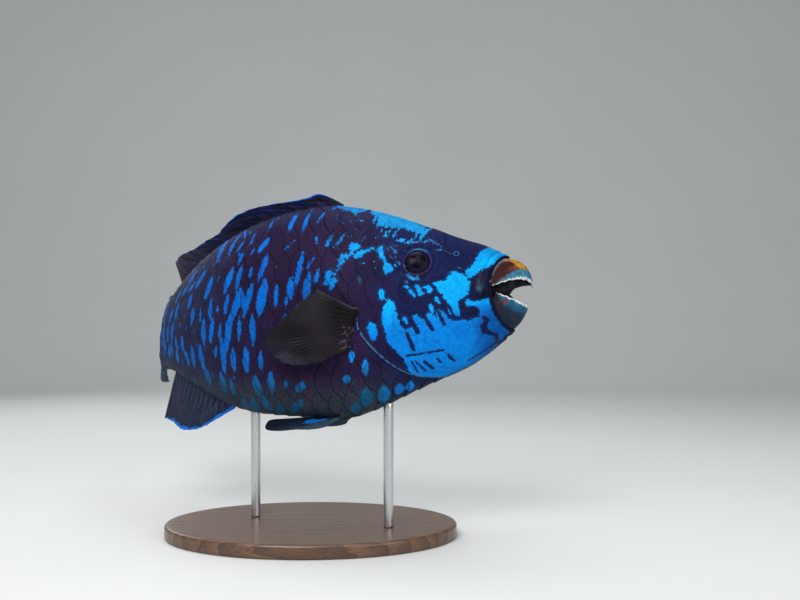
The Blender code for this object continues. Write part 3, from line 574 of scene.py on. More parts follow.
def markings(t, tau_signed):
    """mark (mm inside the blue), blue's own colour and the ground's, per point."""
    t = np.asarray(t, float)
    side_all = np.where(tau_signed >= 0, 1, -1)
    mark = np.full(t.shape, -9.0)
    scribble = np.full(t.shape, -9.0)
    for side in (1, -1):
        pick = side_all == side
        tt, tau = drift(t[pick], folded(tau_signed[pick]), side)
        tau = np.clip(tau, 0.11, math.pi - 0.11)
        x, a = tt * SL * 1000, arc(tt, tau)
        blue, dark, faint = (np.full(x.shape, -9.0) for _ in range(3))
        for loop in BLUE_MM.values():
            blue = np.maximum(blue, inside_loop(x, a, loop))
        for stroke in BLUE_STROKES:
            blue = np.maximum(blue, along_stroke(x, a, stroke))
        for stroke in DARK_STROKES:
            dark = np.maximum(dark, along_stroke(x, a, stroke))
        # small flecks behind and above the eye
        spot = ((x + 0.45 * a) / 1000, 0.45 * (a - 0.4 * x) / 1000)
        fleck = ripple(spot[0], spot[1], 0 * x, 66, 1500) + 0.6 * ripple(spot[0], spot[1], 0 * x, 67, 3100)
        where = smooth(tt, 0.15, 0.18) * (1 - smooth(tt, 0.33, 0.37)) * smooth(tau, 0.30, 0.45) * (1 - smooth(tau, 1.12, 1.30))
        blue = np.maximum(blue, 2.4 * (fleck - 1.32) - 6 * (1 - where))
        # pale line along the gill cover's edge
        edge_mm = (tt - gill_edge(tau)) * SL * 1000 + 1.6
        wide = np.where((tau > 1.62) & (tau < 2.85), 0.75, -3)
        blue = np.maximum(blue, np.where(wide > 0, 2.2, 1.0) * (wide - np.abs(edge_mm)))
        # patches of the nape and behind the eye are torn into slanting streaks
        spot = ((x + 0.55 * a) / 1000, 0.30 * (a - 0.4 * x) / 1000)
        rag = ripple(spot[0], spot[1], 0 * x, 61, 1150) + 0.7 * ripple(spot[0], spot[1], 0 * x, 62, 2600)
        torn = (smooth(tt, 0.14, 0.17) * (1 - smooth(tau, 0.62, 0.86)) * (1 - smooth(tt, 0.27, 0.29))) * smooth(tau, 0.14, 0.34)
        blue = blue + torn * (4.6 * rag - 1.3)
        rag = ripple(x / 1000, a / 1000, 0 * x, 63, 900) + 0.6 * ripple(x / 1000, a / 1000, 0 * x, 64, 2300)
        blue = blue + (1 - torn) * (0.7 + 1.7 * (1 - smooth(tau, 0.45, 0.70)) * smooth(tt, 0.12, 0.16)) * rag * (1 - smooth(tt, 0.37, 0.41))
        r, ang = eye_polar(tt, tau)
        wide = np.where((ang > 40) & (ang < 128), 0.70 * np.sin(np.radians(np.clip((ang - 40) / 88, 0, 1) * 180)) ** 0.5, -3)
        blue = np.maximum(blue, wide - np.abs(r - 13.6))
        wide = np.where((ang > 222) & (ang < 272), 0.9, -3)
        blue = np.maximum(blue, wide - np.abs(r - 15.8 - 0.9 * np.sin(np.radians(ang * 9))) + 0.5 * rag)
        blue = np.minimum(blue, -dark)
        # the lower lip's edge is dark
        from_lip = (tt - lip_t(tau)) * SL * 1000
        blue = np.where(tau > 1.45, np.minimum(blue, from_lip - 2.6 - 1.6 * np.exp(-(((tau - 1.75) / 0.35) ** 2))), blue)
        for stroke in SCRIBBLES:
            near = along_stroke(x, a, stroke) + 0.5 * rag
            faint = np.maximum(faint, near)
        ring = np.hypot((tt - 0.114) * SL * 1000, a - arc(np.full(tt.shape, 0.114), 0.837))
        faint = np.maximum(faint, 0.55 - np.abs(ring - 2.2))
        scribble[pick] = faint
        xs, as_ = t[pick] * SL * 1000, arc(t[pick], folded(tau_signed[pick]))
        for x0, a0, half, wide, slant in DASH_SETS[side]:
            body = lens(xs, as_, x0, a0, half, wide, slant)
            blue = np.maximum(blue, np.where(body > -4, 1.35 * body + 0.85 * rag * (x0 > 150), -9.0))
        mark[pick] = blue
    tau = folded(tau_signed)
    sh = share_of(t, tau)
    low = -sh
    k = smooth(t, 0.26, 0.40)[..., None]
    hue = HEAD_BLUE * (1 - k) + BODY_BLUE * k
    crown = (1 - 0.40 * (1 - smooth(tau, 0.55, 0.95)) * (1 - smooth(t, 0.34, 0.38)))[..., None]
    hue = hue * crown
    from_eye = eye_polar(t, tau)[0]
    dull = ((1 - smooth(from_eye, 14.6, 15.6)) * 0.75)[..., None]
    hue = hue * (1 - dull) + np.array([0.030, 0.120, 0.240]) * dull
    jaw = (smooth(low, -0.02, 0.22) * (1 - smooth(t, 0.28, 0.36)))[..., None]
    hue = hue * (1 - jaw) + JAW_BLUE * jaw
    chin = (smooth(0.115 - t, 0, 0.05) * smooth(low, 0.05, 0.30))[..., None]
    hue = hue * (1 - chin) + CHIN_BLUE * chin
    teal = (smooth(low, 0.34, 0.68) * smooth(t, 0.22, 0.30))[..., None]
    hue = hue * (1 - teal) + BELLY_TEAL * (0.65 + 0.35 * (1 - teal)) * teal
    mark = mark - 0.6 * teal[..., 0] * (mark > -4)
    under_chin = (smooth(low, 0.80, 0.98) * (1 - smooth(t, 0.20, 0.28)))[..., None]
    hue = hue * (1 - under_chin) + np.array([0.004, 0.105, 0.200]) * under_chin
    pale = ((np.abs((t - gill_edge(tau)) * SL * 1000 + 1.6) < 1.8) & (tau > 1.6))[..., None]
    hue = np.where(pale, hue * 0.15 + np.array([0.055, 0.115, 0.200]) * 0.85, hue)

    # Towards the back the ground turns navy: partly the fish's own dark colour, partly painted sheen of light falling
    # from above.
    up = smooth(sh, 0.55, 1.0)[..., None]
    ground = MAROON * (1 - up) + (0.45 * NAVY + 0.55 * MAROON) * up
    under = smooth(low, 0.45, 0.85)[..., None]
    ground = ground * (1 - under) + BELLY_DARK * under
    throat = (smooth(low, 0.82, 0.98) * (1 - smooth(t, 0.36, 0.44)) * 0.7)[..., None]
    ground = ground * (1 - throat) + np.array([0.028, 0.070, 0.090]) * throat
    rear = (smooth(t, 0.46, 0.82) * 0.75)[..., None]
    ground = ground * (1 - rear) + REAR_DARK * rear
    head = (1 - smooth(t, 0.20, 0.33))[..., None] * 0.75
    ground = ground * (1 - head) + HEAD_DARK * head
    reach = 13 + 14 * np.exp(-(((tau - 1.36) / 0.30) ** 2))
    lips = (1 - smooth((t - lip_t(tau)) * SL * 1000, reach * 0.5, reach))[..., None]
    ground = ground * (1 - lips) + LIP_DARK * lips
    glint = (0.55 * bump_at(t, tau, 0.079, 1.425, 1.9, 2.6) + 0.25 * bump_at(t, tau, 0.076, 1.36, 3.5, 6.0))[..., None]
    ground = ground * (1 - glint) + np.array([0.070, 0.120, 0.210]) * glint
    # Painted sheen: a soft purple-ish patch on the dark lips near the mouth corner, round the painted highlight above.
    corner_sheen = (0.30 * bump_at(t, tau, 0.072, 1.20, 4.5, 7.0))[..., None]
    ground = ground * (1 - corner_sheen) + np.array([0.040, 0.022, 0.075]) * corner_sheen
    thin = (smooth(scribble, -0.5, 0.5) * 0.75)[..., None]
    ground = ground * (1 - thin) + np.array([0.040, 0.150, 0.330]) * thin
    r, _ = eye_polar(t, tau)
    rim = (np.exp(-(((r - 12.6) / 0.9) ** 2)) * 0.75)[..., None]
    ground = ground * (1 - rim) + np.array([0.040, 0.024, 0.070]) * rim
    return mark, hue, ground


# ---------------------------------------------------------------- making meshes
def build(name, verts, quads, uv_quads, attrs, mat, tris=None, uv_tris=None, flip=False):
    """A mesh object from arrays; uv is per face corner, attrs per vertex."""
    verts = np.asarray(verts, np.float32)
    quads = np.asarray(quads, np.int32).reshape(-1, 4)
    tris = np.zeros((0, 3), np.int32) if tris is None else np.asarray(tris, np.int32)
    uv_tris = np.zeros((len(tris), 3, 2)) if uv_tris is None else uv_tris
    if flip:
        quads, uv_quads = quads[:, ::-1], uv_quads[:, ::-1]
        tris, uv_tris = tris[:, ::-1], uv_tris[:, ::-1]
    loops = np.concatenate([quads.ravel(), tris.ravel()]).astype(np.int32)
    starts = np.concatenate([np.arange(len(quads)) * 4, len(quads) * 4 + np.arange(len(tris)) * 3])
    mesh = bpy.data.meshes.new(name)
    mesh.vertices.add(len(verts))
    mesh.vertices.foreach_set("co", verts.ravel())
    mesh.loops.add(len(loops))
    mesh.loops.foreach_set("vertex_index", loops)
    mesh.polygons.add(len(quads) + len(tris))
    mesh.polygons.foreach_set("loop_start", starts.astype(np.int32))
    mesh.update(calc_edges=True)
    uv = np.concatenate([np.asarray(uv_quads).reshape(-1, 2), np.asarray(uv_tris).reshape(-1, 2)])
    layer = mesh.uv_layers.new(name="OFBake")
    layer.uv.foreach_set("vector", uv.astype(np.float32).ravel())
    for key, value in attrs.items():
        value = np.asarray(value, np.float32)
        if value.ndim == 1:
            mesh.attributes.new(key, "FLOAT", "POINT").data.foreach_set("value", value)
        elif key == "local":
            mesh.attributes.new(key, "FLOAT_VECTOR", "POINT").data.foreach_set("vector", value.ravel())
        else:
            four = np.concatenate([value, np.ones((len(value), 1), np.float32)], 1)
            mesh.attributes.new(key, "FLOAT_COLOR", "POINT").data.foreach_set("color", four.ravel())
    mesh.shade_smooth()
    mesh.materials.append(mat)
    obj = bpy.data.objects.new(name, mesh)
    bpy.context.scene.collection.objects.link(obj)
    return obj


def volume(verts, quads, tris=None):
    v = np.asarray(verts, float) - np.mean(verts, axis=0)
    q = np.asarray(quads)
    total = np.einsum("ij,ij->i", v[q[:, 0]], np.cross(v[q[:, 1]], v[q[:, 2]])).sum()
    total += np.einsum("ij,ij->i", v[q[:, 0]], np.cross(v[q[:, 2]], v[q[:, 3]])).sum()
    if tris is not None and len(tris):
        total += np.einsum("ij,ij->i", v[tris[:, 0]], np.cross(v[tris[:, 1]], v[tris[:, 2]])).sum()
    return total / 6


def sheet_quads(rows, cols):
    i, j = np.meshgrid(np.arange(rows - 1), np.arange(cols - 1), indexing="ij")
    a = (i * cols + j).ravel()
    return np.stack([a, a + 1, a + cols + 1, a + cols], 1)


def border(rows, cols):
    edge = [(0, j) for j in range(cols)] + [(i, cols - 1) for i in range(1, rows)]
    edge += [(rows - 1, j) for j in range(cols - 2, -1, -1)] + [(i, 0) for i in range(rows - 2, 0, -1)]
    k = np.array([i * cols + j for i, j in edge])
    return np.stack([k, np.roll(k, -1)], 1)


def slab_parts(rows, cols):
    """Faces of two equal grids closed round their border."""
    q, n, e = sheet_quads(rows, cols), rows * cols, border(rows, cols)
    side = np.stack([e[:, 1], e[:, 0], e[:, 0] + n, e[:, 1] + n], 1)
    return np.concatenate([q, q[:, ::-1] + n, side])


def slab_object(name, front, rear, attrs, mat):
    """A closed sheet; front and rear are grids of points, attrs grids of values."""
    rows, cols = front.shape[:2]
    verts = np.concatenate([front.reshape(-1, 3), rear.reshape(-1, 3)])
    quads = slab_parts(rows, cols)
    u, v = np.meshgrid(np.linspace(0.01, 0.485, cols), np.linspace(0.01, 0.99, rows))
    uv = np.concatenate([np.stack([u, v], -1).reshape(-1, 2), np.stack([u + 0.505, v], -1).reshape(-1, 2)])
    uvq = uv[quads]
    n_side = 2 * (rows + cols) - 4
    uvq[-n_side:, 2] = uvq[-n_side:, 1]
    uvq[-n_side:, 3] = uvq[-n_side:, 0]
    both = {}
    for key, value in attrs.items():
        value = np.broadcast_to(value, front.shape[:2] + np.shape(value)[2:])
        flat = value.reshape((rows * cols,) + value.shape[2:])
        both[key] = np.concatenate([flat, flat])
    return build(name, verts, quads, uvq, both, mat, flip=volume(verts, quads) < 0)


def normals_of(p):
    n = np.cross(np.gradient(p, axis=1), np.gradient(p, axis=0))
    return n / (np.linalg.norm(n, axis=-1, keepdims=True) + 1e-12)


# ---------------------------------------------------------------- materials
class Graph:
    def __init__(self, name):
        self.mat = bpy.data.materials.new(name)
        self.mat.use_nodes = True
        self.tree = self.mat.node_tree
        self.bsdf = self.tree.nodes["Principled BSDF"]
        self.where = self.add("ShaderNodeTexCoord").outputs["Object"]

    def add(self, kind, **props):
        node = self.tree.nodes.new(kind)
        for key, value in props.items():
            setattr(node, key, value)
        return node

    def into(self, socket, value):
        if isinstance(value, bpy.types.NodeSocket):
            self.tree.links.new(value, socket)
        elif isinstance(value, (tuple, list, np.ndarray)):
            value = tuple(float(x) for x in value)
            socket.default_value = value + (1.0,) if len(value) == 3 and socket.type == "RGBA" else value
        else:
            socket.default_value = value

    def math(self, op, a, b=0.0, clamp=False):
        node = self.add("ShaderNodeMath", operation=op, use_clamp=clamp)
        self.into(node.inputs[0], a)
        self.into(node.inputs[1], b)
        return node.outputs[0]

    def mix(self, k, a, b, how="MIX"):
        node = self.add("ShaderNodeMix", data_type="RGBA", blend_type=how)
        self.into(node.inputs[0], k)
        self.into(node.inputs[6], a)
        self.into(node.inputs[7], b)
        return node.outputs[2]

    def ramp(self, x, a, b, low=0.0, high=1.0):
        node = self.add("ShaderNodeMapRange", interpolation_type="SMOOTHSTEP", clamp=True)
        for i, value in enumerate((x, a, b, low, high)):
            self.into(node.inputs[i], value)
        return node.outputs[0]

    def noise(self, scale, detail=2.0, rough=0.5, at=None, warp=0.0):
        node = self.add("ShaderNodeTexNoise")
        self.into(node.inputs["Vector"], at or self.where)
        for key, value in (("Scale", scale), ("Detail", detail), ("Roughness", rough), ("Distortion", warp)):
            node.inputs[key].default_value = value
        return node.outputs["Fac"]

    def cells(self, scale, at=None, feature="F1"):
        node = self.add("ShaderNodeTexVoronoi", feature=feature)
        self.into(node.inputs["Vector"], at or self.where)
        node.inputs["Scale"].default_value = scale
        return node.outputs["Distance"], node.outputs["Color"]

    def value(self, name, out="Fac"):
        return self.add("ShaderNodeAttribute", attribute_name=name).outputs[out]

    def bump(self, height, depth, strength=1.0, before=None):
        node = self.add("ShaderNodeBump")
        node.inputs["Distance"].default_value = depth
        node.inputs["Strength"].default_value = strength
        self.into(node.inputs["Height"], height)
        if before is not None:
            self.into(node.inputs["Normal"], before)
        return node.outputs["Normal"]

    def finish(self, colour, rough, normal=None, specular=0.5, metal=0.0, coat=0.0, coat_rough=0.1):
        self.into(self.bsdf.inputs["Base Color"], colour)
        self.into(self.bsdf.inputs["Roughness"], rough)
        self.bsdf.inputs["Specular IOR Level"].default_value = specular
        self.bsdf.inputs["Metallic"].default_value = metal
        self.bsdf.inputs["Coat Weight"].default_value = coat
        self.bsdf.inputs["Coat Roughness"].default_value = coat_rough
        if normal is not None:
            self.into(self.bsdf.inputs["Normal"], normal)
        return self.mat


def flesh_material(name, scaly):
    g = Graph(name)
    fine, mid, broad = g.noise(620, 3, 0.6), g.noise(230, 3, 0.55, warp=0.6), g.noise(38, 2)
    other = g.noise(310, 2, 0.6, warp=1.0)
    ragged = g.math("MULTIPLY", g.math("SUBTRACT", fine, 0.5), 3.2)
    torn = g.math("MULTIPLY", g.math("SUBTRACT", mid, 0.52), 3.0)
    blue_on = g.ramp(g.math("ADD", g.value("mark"), g.math("ADD", ragged, torn)), -0.30, 0.50)
    # dark ground with a fine red and violet mottle
    ground = g.value("ground", "Color")
    ground = g.mix(g.ramp(broad, 0.35, 0.65, 0.0, 0.45), ground, g.mix(1.0, ground, (0.55, 0.60, 0.75), "MULTIPLY"))
    own = ground
    ground = g.mix(g.ramp(mid, 0.44, 0.62, 0.0, 0.55), ground, g.mix(1.0, own, (2.0, 0.65, 0.70), "MULTIPLY"))
    ground = g.mix(g.ramp(other, 0.47, 0.64, 0.0, 0.50), ground, g.mix(1.0, own, (0.55, 1.9, 2.4), "MULTIPLY"))
    ground = g.mix(g.ramp(fine, 0.50, 0.66, 0.0, 0.55), ground, g.mix(1.0, own, (2.1, 2.3, 2.2), "MULTIPLY"))
    ground = g.mix(g.ramp(g.noise(1150, 2, 0.6), 0.54, 0.66, 0.0, 0.60), ground, (0.0015, 0.0015, 0.0050))
    # a dim blue haze round each blue mark
    haze = g.ramp(g.math("ADD", g.value("mark"), g.math("MULTIPLY", torn, 1.3)), -2.6, 0.2, 0.0, 0.55)
    ground = g.mix(haze, ground, g.mix(0.12, g.mix(1.0, own, (0.5, 1.5, 2.2), "MULTIPLY"), g.value("hue", "Color")))
    hue = g.value("hue", "Color")
    hue = g.mix(g.ramp(g.noise(95, 3, 0.65, warp=0.9), 0.46, 0.64, 0.0, 0.55), hue, g.mix(1.0, hue, (0.50, 0.64, 0.80), "MULTIPLY"))
    hue = g.mix(g.ramp(mid, 0.36, 0.64, 0.0, 0.50), hue, g.mix(1.0, hue, (0.55, 0.62, 0.72), "MULTIPLY"))
    hue = g.mix(g.ramp(fine, 0.60, 0.74, 0.0, 0.22), hue, (0.008, 0.260, 0.760))
    colour = g.mix(blue_on, ground, hue)
    speck, which = g.cells(150)
    lone = g.add("ShaderNodeSeparateColor")
    g.into(lone.inputs[0], which)
    pale = g.math("MULTIPLY", g.math("LESS_THAN", speck, 0.085), g.math("GREATER_THAN", lone.outputs[0], 0.94))
    colour = g.mix(g.math("MULTIPLY", pale, 0.55), colour, (0.42, 0.40, 0.42))
    if scaly:
        colour = g.mix(g.math("MULTIPLY", g.value("rim"), 0.45), colour, (0.003, 0.004, 0.014))
        at = g.value("local", "Vector")
        rings = g.add("ShaderNodeTexWave", wave_type="RINGS", rings_direction="SPHERICAL", wave_profile="SIN")
        g.into(rings.inputs["Vector"], at)
        rings.inputs["Scale"].default_value = 0.30
        rings.inputs["Distortion"].default_value = 1.2
        rings.inputs["Detail"].default_value = 1.0
        normal = g.bump(rings.outputs["Fac"], 0.00010, 0.55)
        normal = g.bump(fine, 0.00014, 0.6, normal)
        rough = g.ramp(mid, 0.3, 0.7, 0.54, 0.66)
    else:
        normal = g.bump(fine, 0.00022, 0.7)
        normal = g.bump(mid, 0.00040, 0.5, normal)
        rough = g.ramp(mid, 0.3, 0.7, 0.52, 0.66)
    return g.finish(colour, rough, normal, specular=0.060)


def fin_material():
    g = Graph("fin_rays")
    fine, mid = g.noise(560, 3, 0.6), g.noise(120, 2, 0.5, warp=0.4)
    patch = g.noise(85, 3, 0.6, warp=0.8)
    ragged = g.math("MULTIPLY", g.math("SUBTRACT", fine, 0.5), 2.4)
    blue_on = g.ramp(g.math("ADD", g.value("mark"), ragged), -0.35, 0.45)
    ground = g.value("ground", "Color")
    ground = g.mix(g.ramp(mid, 0.4, 0.62, 0.0, 0.5), ground, g.mix(1.0, ground, (0.50, 0.55, 0.70), "MULTIPLY"))
    streaky = g.math("MULTIPLY", g.value("ray"), g.ramp(patch, 0.34, 0.64, 0.30, 0.95))
    ground = g.mix(streaky, ground, g.value("streak", "Color"))
    hue = g.value("hue", "Color")
    hue = g.mix(g.ramp(mid, 0.40, 0.62, 0.0, 0.4), hue, g.mix(1.0, hue, (0.55, 0.66, 0.80), "MULTIPLY"))
    colour = g.mix(blue_on, ground, hue)
    return g.finish(colour, 0.60, g.bump(fine, 0.00014, 0.7), specular=0.08)


def beak_material():
    g = Graph("beak_plate")
    fine, mid = g.noise(700, 3, 0.6), g.noise(170, 3, 0.6, warp=0.8)
    ground = g.value("ground", "Color")
    ground = g.mix(g.ramp(mid, 0.50, 0.60, 0.0, 0.92), ground, g.value("hue", "Color"))
    ground = g.mix(g.ramp(fine, 0.54, 0.68, 0.0, 0.55), ground, g.mix(1.0, ground, (0.45, 0.38, 0.34), "MULTIPLY"))
    return g.finish(ground, g.ramp(mid, 0.3, 0.7, 0.36, 0.54), g.bump(fine, 0.00018, 0.8), specular=0.16)


def eye_material():
    g = Graph("eye_ball")
    fine = g.noise(900, 2, 0.5)
    ground = g.mix(g.ramp(fine, 0.45, 0.7, 0.0, 0.5), g.value("ground", "Color"), g.value("hue", "Color"))
    return g.finish(ground, 0.14, None, specular=0.055)


def wood_material():
    g = Graph("stand_walnut")
    stretch = g.add("ShaderNodeMapping")
    g.into(stretch.inputs["Vector"], g.where)
    stretch.inputs["Scale"].default_value = (0.14, 1.0, 1.0)
    at = stretch.outputs["Vector"]
    grain = g.add("ShaderNodeTexWave", wave_type="BANDS", bands_direction="Y", wave_profile="SAW")
    g.into(grain.inputs["Vector"], at)
    for key, value in (("Scale", 26.0), ("Distortion", 5.0), ("Detail", 3.0), ("Detail Scale", 2.2)):
        grain.inputs[key].default_value = value
    pores = g.noise(620, 3, 0.6, at=at)
    colour = g.mix(grain.outputs["Fac"], (0.150, 0.072, 0.036), (0.062, 0.027, 0.014))
    colour = g.mix(g.ramp(pores, 0.52, 0.66, 0.0, 0.7), colour, (0.026, 0.012, 0.008))
    return g.finish(colour, 0.34, g.bump(pores, 0.00010, 0.4), specular=0.5, coat=0.25, coat_rough=0.18)


def rod_material():
    g = Graph("stand_steel")
    brushed = g.add("ShaderNodeMapping")
    g.into(brushed.inputs["Vector"], g.where)
    brushed.inputs["Scale"].default_value = (1.0, 1.0, 0.03)
    lines = g.noise(2600, 2, 0.5, at=brushed.outputs["Vector"])
    return g.finish((0.56, 0.57, 0.58), g.ramp(lines, 0.3, 0.7, 0.22, 0.36), None, metal=1.0)


def stage_material():
    g = Graph("stage_paper")
    tone = g.noise(3.0, 2, 0.5)
    return g.finish(g.mix(tone, (0.60, 0.61, 0.60), (0.64, 0.65, 0.64)), 0.85, None, specular=0.2)


SKIN, COAT = flesh_material("skin_bare", False), flesh_material("skin_scales", True)
FIN, BEAK, EYE, WOOD, STEEL, PAPER = fin_material(), beak_material(), eye_material(), wood_material(), rod_material(), stage_material()


# ---------------------------------------------------------------- the skin
def coat_zone(t, tau):
    """1 where the body's scales lie, part where the head's do, 0 on bare skin."""
    tau = folded(tau)
    behind = (t - gill_edge(tau)) * SL * 1000
    trunk = smooth(behind, -0.5, 1.8)
    nape = smooth(t - 0.02 * tau, 0.135, 0.175) * (1 - smooth(tau, 0.74, 0.90))
    cover = smooth(t, 0.185, 0.215) * smooth(tau, 0.70, 0.85) * (1 - smooth(tau, 2.05, 2.2)) * 0.45
    return np.maximum(np.maximum(trunk, nape * 0.75), cover)


def sunk_mm(t, tau):
    return 0.30 + (COAT_MM - 0.30) * coat_zone(t, tau)


def bump_at(t, tau, t0, tau0, wide_x, wide_a):
    dx = (t - t0) * SL * 1000
    da = arc(t, tau) - arc(np.full(np.shape(t), t0), tau0)
    return np.exp(-((dx / wide_x) ** 2) - (da / wide_a) ** 2)


def relief_mm(t, tau_signed):
    """What the flesh adds to the body's form: rims, folds, grooves and pits."""
    tau = folded(tau_signed)
    a = arc(t, tau)
    d = np.zeros(np.broadcast(t, tau).shape)
    r, ang = eye_polar(t, tau)
    d -= 7.5 * (1 - smooth(r, 9.6, 12.2))
    d += 0.95 * np.exp(-(((r - 12.9) / 1.1) ** 2))
    d -= 0.55 * np.exp(-(((r - 16.2) / 1.5) ** 2))
    d += 0.60 * np.exp(-(((r - 19.5) / 2.6) ** 2)) * np.clip(np.sin(np.radians(ang)), 0, 1)
    d -= 0.30 * np.exp(-(((r - 18.8) / 0.8) ** 2)) * np.clip(-np.sin(np.radians(ang)), 0, 1)
    # nostrils: a round one with a raised ring, and a slit behind it
    r1 = np.hypot((t - 0.114) * SL * 1000, a - arc(np.full(np.shape(t), 0.114), 0.837))
    d += 0.75 * np.exp(-(((r1 - 2.3) / 0.75) ** 2)) - 2.2 * np.exp(-((r1 / 1.35) ** 2))
    d += 0.40 * bump_at(t, tau, 0.129, 0.842, 2.2, 3.0) - 2.0 * bump_at(t, tau, 0.129, 0.842, 0.85, 1.9)
    # lips, and the folds that run back from the corner of the mouth
    s = (t - lip_t(tau)) * SL * 1000
    d += 0.95 * np.exp(-(((s - 2.8) / 2.4) ** 2)) - 0.75 * np.exp(-(((s - 7.4) / 1.5) ** 2)) + 0.45 * np.exp(-(((s - 10.5) / 2.2) ** 2))
    corner = np.exp(-(((a - arc(np.full(np.shape(t), 0.06), 1.40)) / 11) ** 2)) * smooth(s, 1, 5) * (1 - smooth(s, 13, 24))
    d += corner * (0.75 * np.cos((s + 0.35 * np.abs(a)) * 2 * math.pi / 5.6) + 0.8)
    # edge of the cheek plate, edge of the gill cover, folds of the throat
    c = (t - cheek_edge(tau)) * SL * 1000 + 6
    side = smooth(tau, 0.9, 1.3) * (1 - smooth(tau, 2.35, 2.6))
    d -= 0.55 * np.exp(-((c / 1.2) ** 2)) * side
    d += 0.35 * np.exp(-(((c + 3.2) / 2.2) ** 2)) * side
    g = (t - gill_edge(tau)) * SL * 1000
    open_ = smooth(tau, 0.80, 1.05) * (1 - smooth(tau, 2.80, 3.0))
    d += 0.75 * np.exp(-(((g + 1.6) / 2.0) ** 2)) * open_
    d -= 1.10 * np.exp(-(((g - 1.7) / 1.2) ** 2)) * open_
    d -= 0.40 * np.exp(-(((g + 9.0) / 1.6) ** 2)) * open_ * smooth(tau, 1.2, 1.9)
    throat = smooth(tau, 2.25, 2.5)
    for k in (12.0, 21.0, 30.0):
        d -= 0.42 * np.exp(-(((g + k) / 1.1) ** 2)) * throat * (1 - smooth(tau, 3.0, 3.12))
    # creases under the eye and along the lower jaw
    for t0, u0, t1, u1, depth in (
        (0.090, 1.52, 0.150, 2.02, 0.40), (0.075, 1.70, 0.120, 2.30, 0.35), (0.150, 1.52, 0.235, 1.86, 0.32),
        (0.060, 2.05, 0.105, 2.62, 0.35), (0.110, 1.00, 0.150, 1.40, 0.20),
    ):
        near = -along_stroke(t * SL * 1000, a, (t0, u0, t1, u1, 0.0))
        d -= depth * np.exp(-((np.minimum(near, 9) / 1.3) ** 2))
    p = body(t, tau_signed)
    bare = 1 - 0.6 * smooth(t, 0.2, 0.34)
    away = smooth(r, 11, 14)
    x, y, z = p[..., 0], p[..., 1], p[..., 2]
    d += away * bare * (0.30 * ripple(x, y, z, 3, 75) + 0.12 * ripple(x, y, z, 4, 260) + 0.055 * ripple(x, y, z, 5, 900))
    return d


def skin_grid():
    half = np.concatenate([
        np.linspace(0, 0.70, 56, endpoint=False), np.linspace(0.70, 1.95, 214, endpoint=False),
        np.linspace(1.95, math.pi, 92, endpoint=False),
    ])
    tau = np.concatenate([half, [math.pi], -half[:0:-1]])
    tau = tau[np.argsort(tau)]  # from just past the belly round the left, over the back, to the belly
    lip = lip_t(tau)
    rows, zone = [], []
    ways = np.array([(0.060, 16.5), (0.045, 12.0), (0.030, 8.5), (0.024, 5.0), (0.018, 2.9), (0.010, 2.4), (0.0044, 2.3)])
    k = np.linspace(0, len(ways) - 1, 15)
    for ahead, sunk in zip(np.interp(k, range(len(ways)), ways[:, 0]), np.interp(k, range(len(ways)), ways[:, 1])):
        rows.append(body(lip + ahead, tau, sunk / 1000))
        zone.append((lip + ahead, np.full(tau.shape, 0.0)))
    for phi in np.radians((20, 45, 70, 90, 110, 135, 160)):
        ahead, sunk = 0.0036 - 0.0034 * math.sin(phi), 1.30 + 1.0 * math.cos(phi)
        rows.append(body(lip + ahead, tau, sunk / 1000))
        zone.append((lip + ahead, np.full(tau.shape, 0.5)))
    start = 0.030
    n = np.concatenate([np.linspace(start, 0.30, 236, endpoint=False), np.linspace(0.30, 0.985, 150)])
    fade = np.clip((n - start) / 0.13, 0, 1)
    t = n[:, None] + 0.0036 * (1 - fade[:, None]) + (lip[None, :] - start) * (1 - fade[:, None]) ** 2
    tt = np.broadcast_to(tau, t.shape)
    out = relief_mm(t, tt) * smooth((t - lip[None, :]) * SL * 1000, 1.0, 3.0) - sunk_mm(t, tt)
    main = over(t, tt, out / 1000)
    blend = smooth((t - lip[None, :]) * SL * 1000, 1.5, 5.0)[..., None]
    main = main * blend + body(t, tt, sunk_mm(t, tt) / 1000) * (1 - blend)
    rows.extend(main)
    zone.extend((a, np.ones(tau.shape)) for a in t)
    for w in (0.12, 0.24, 0.38, 0.52, 0.66, 0.80, 0.92, 1.0):
        y, z = section(1.0, tau)
        k = 1 - COAT_MM / 1000 / np.hypot(y, z)
        thin = 1 - (0.80 * smooth(w, 0.15, 1.0))
        at = 0.985 + 0.040 * w
        yy, zz = section(min(at, 1.0), tau)
        k = 1 - COAT_MM / 1000 / np.hypot(yy, zz)
        rows.append(place(at + 0.004 * np.cos(tau * 2) * w, yy * k * thin, zz * k * (1 - 0.02 * w)))
        zone.append((np.full(tau.shape, at), np.ones(tau.shape)))
    return tau, np.array(rows), np.array([z[0] for z in zone]), np.array([z[1] for z in zone])


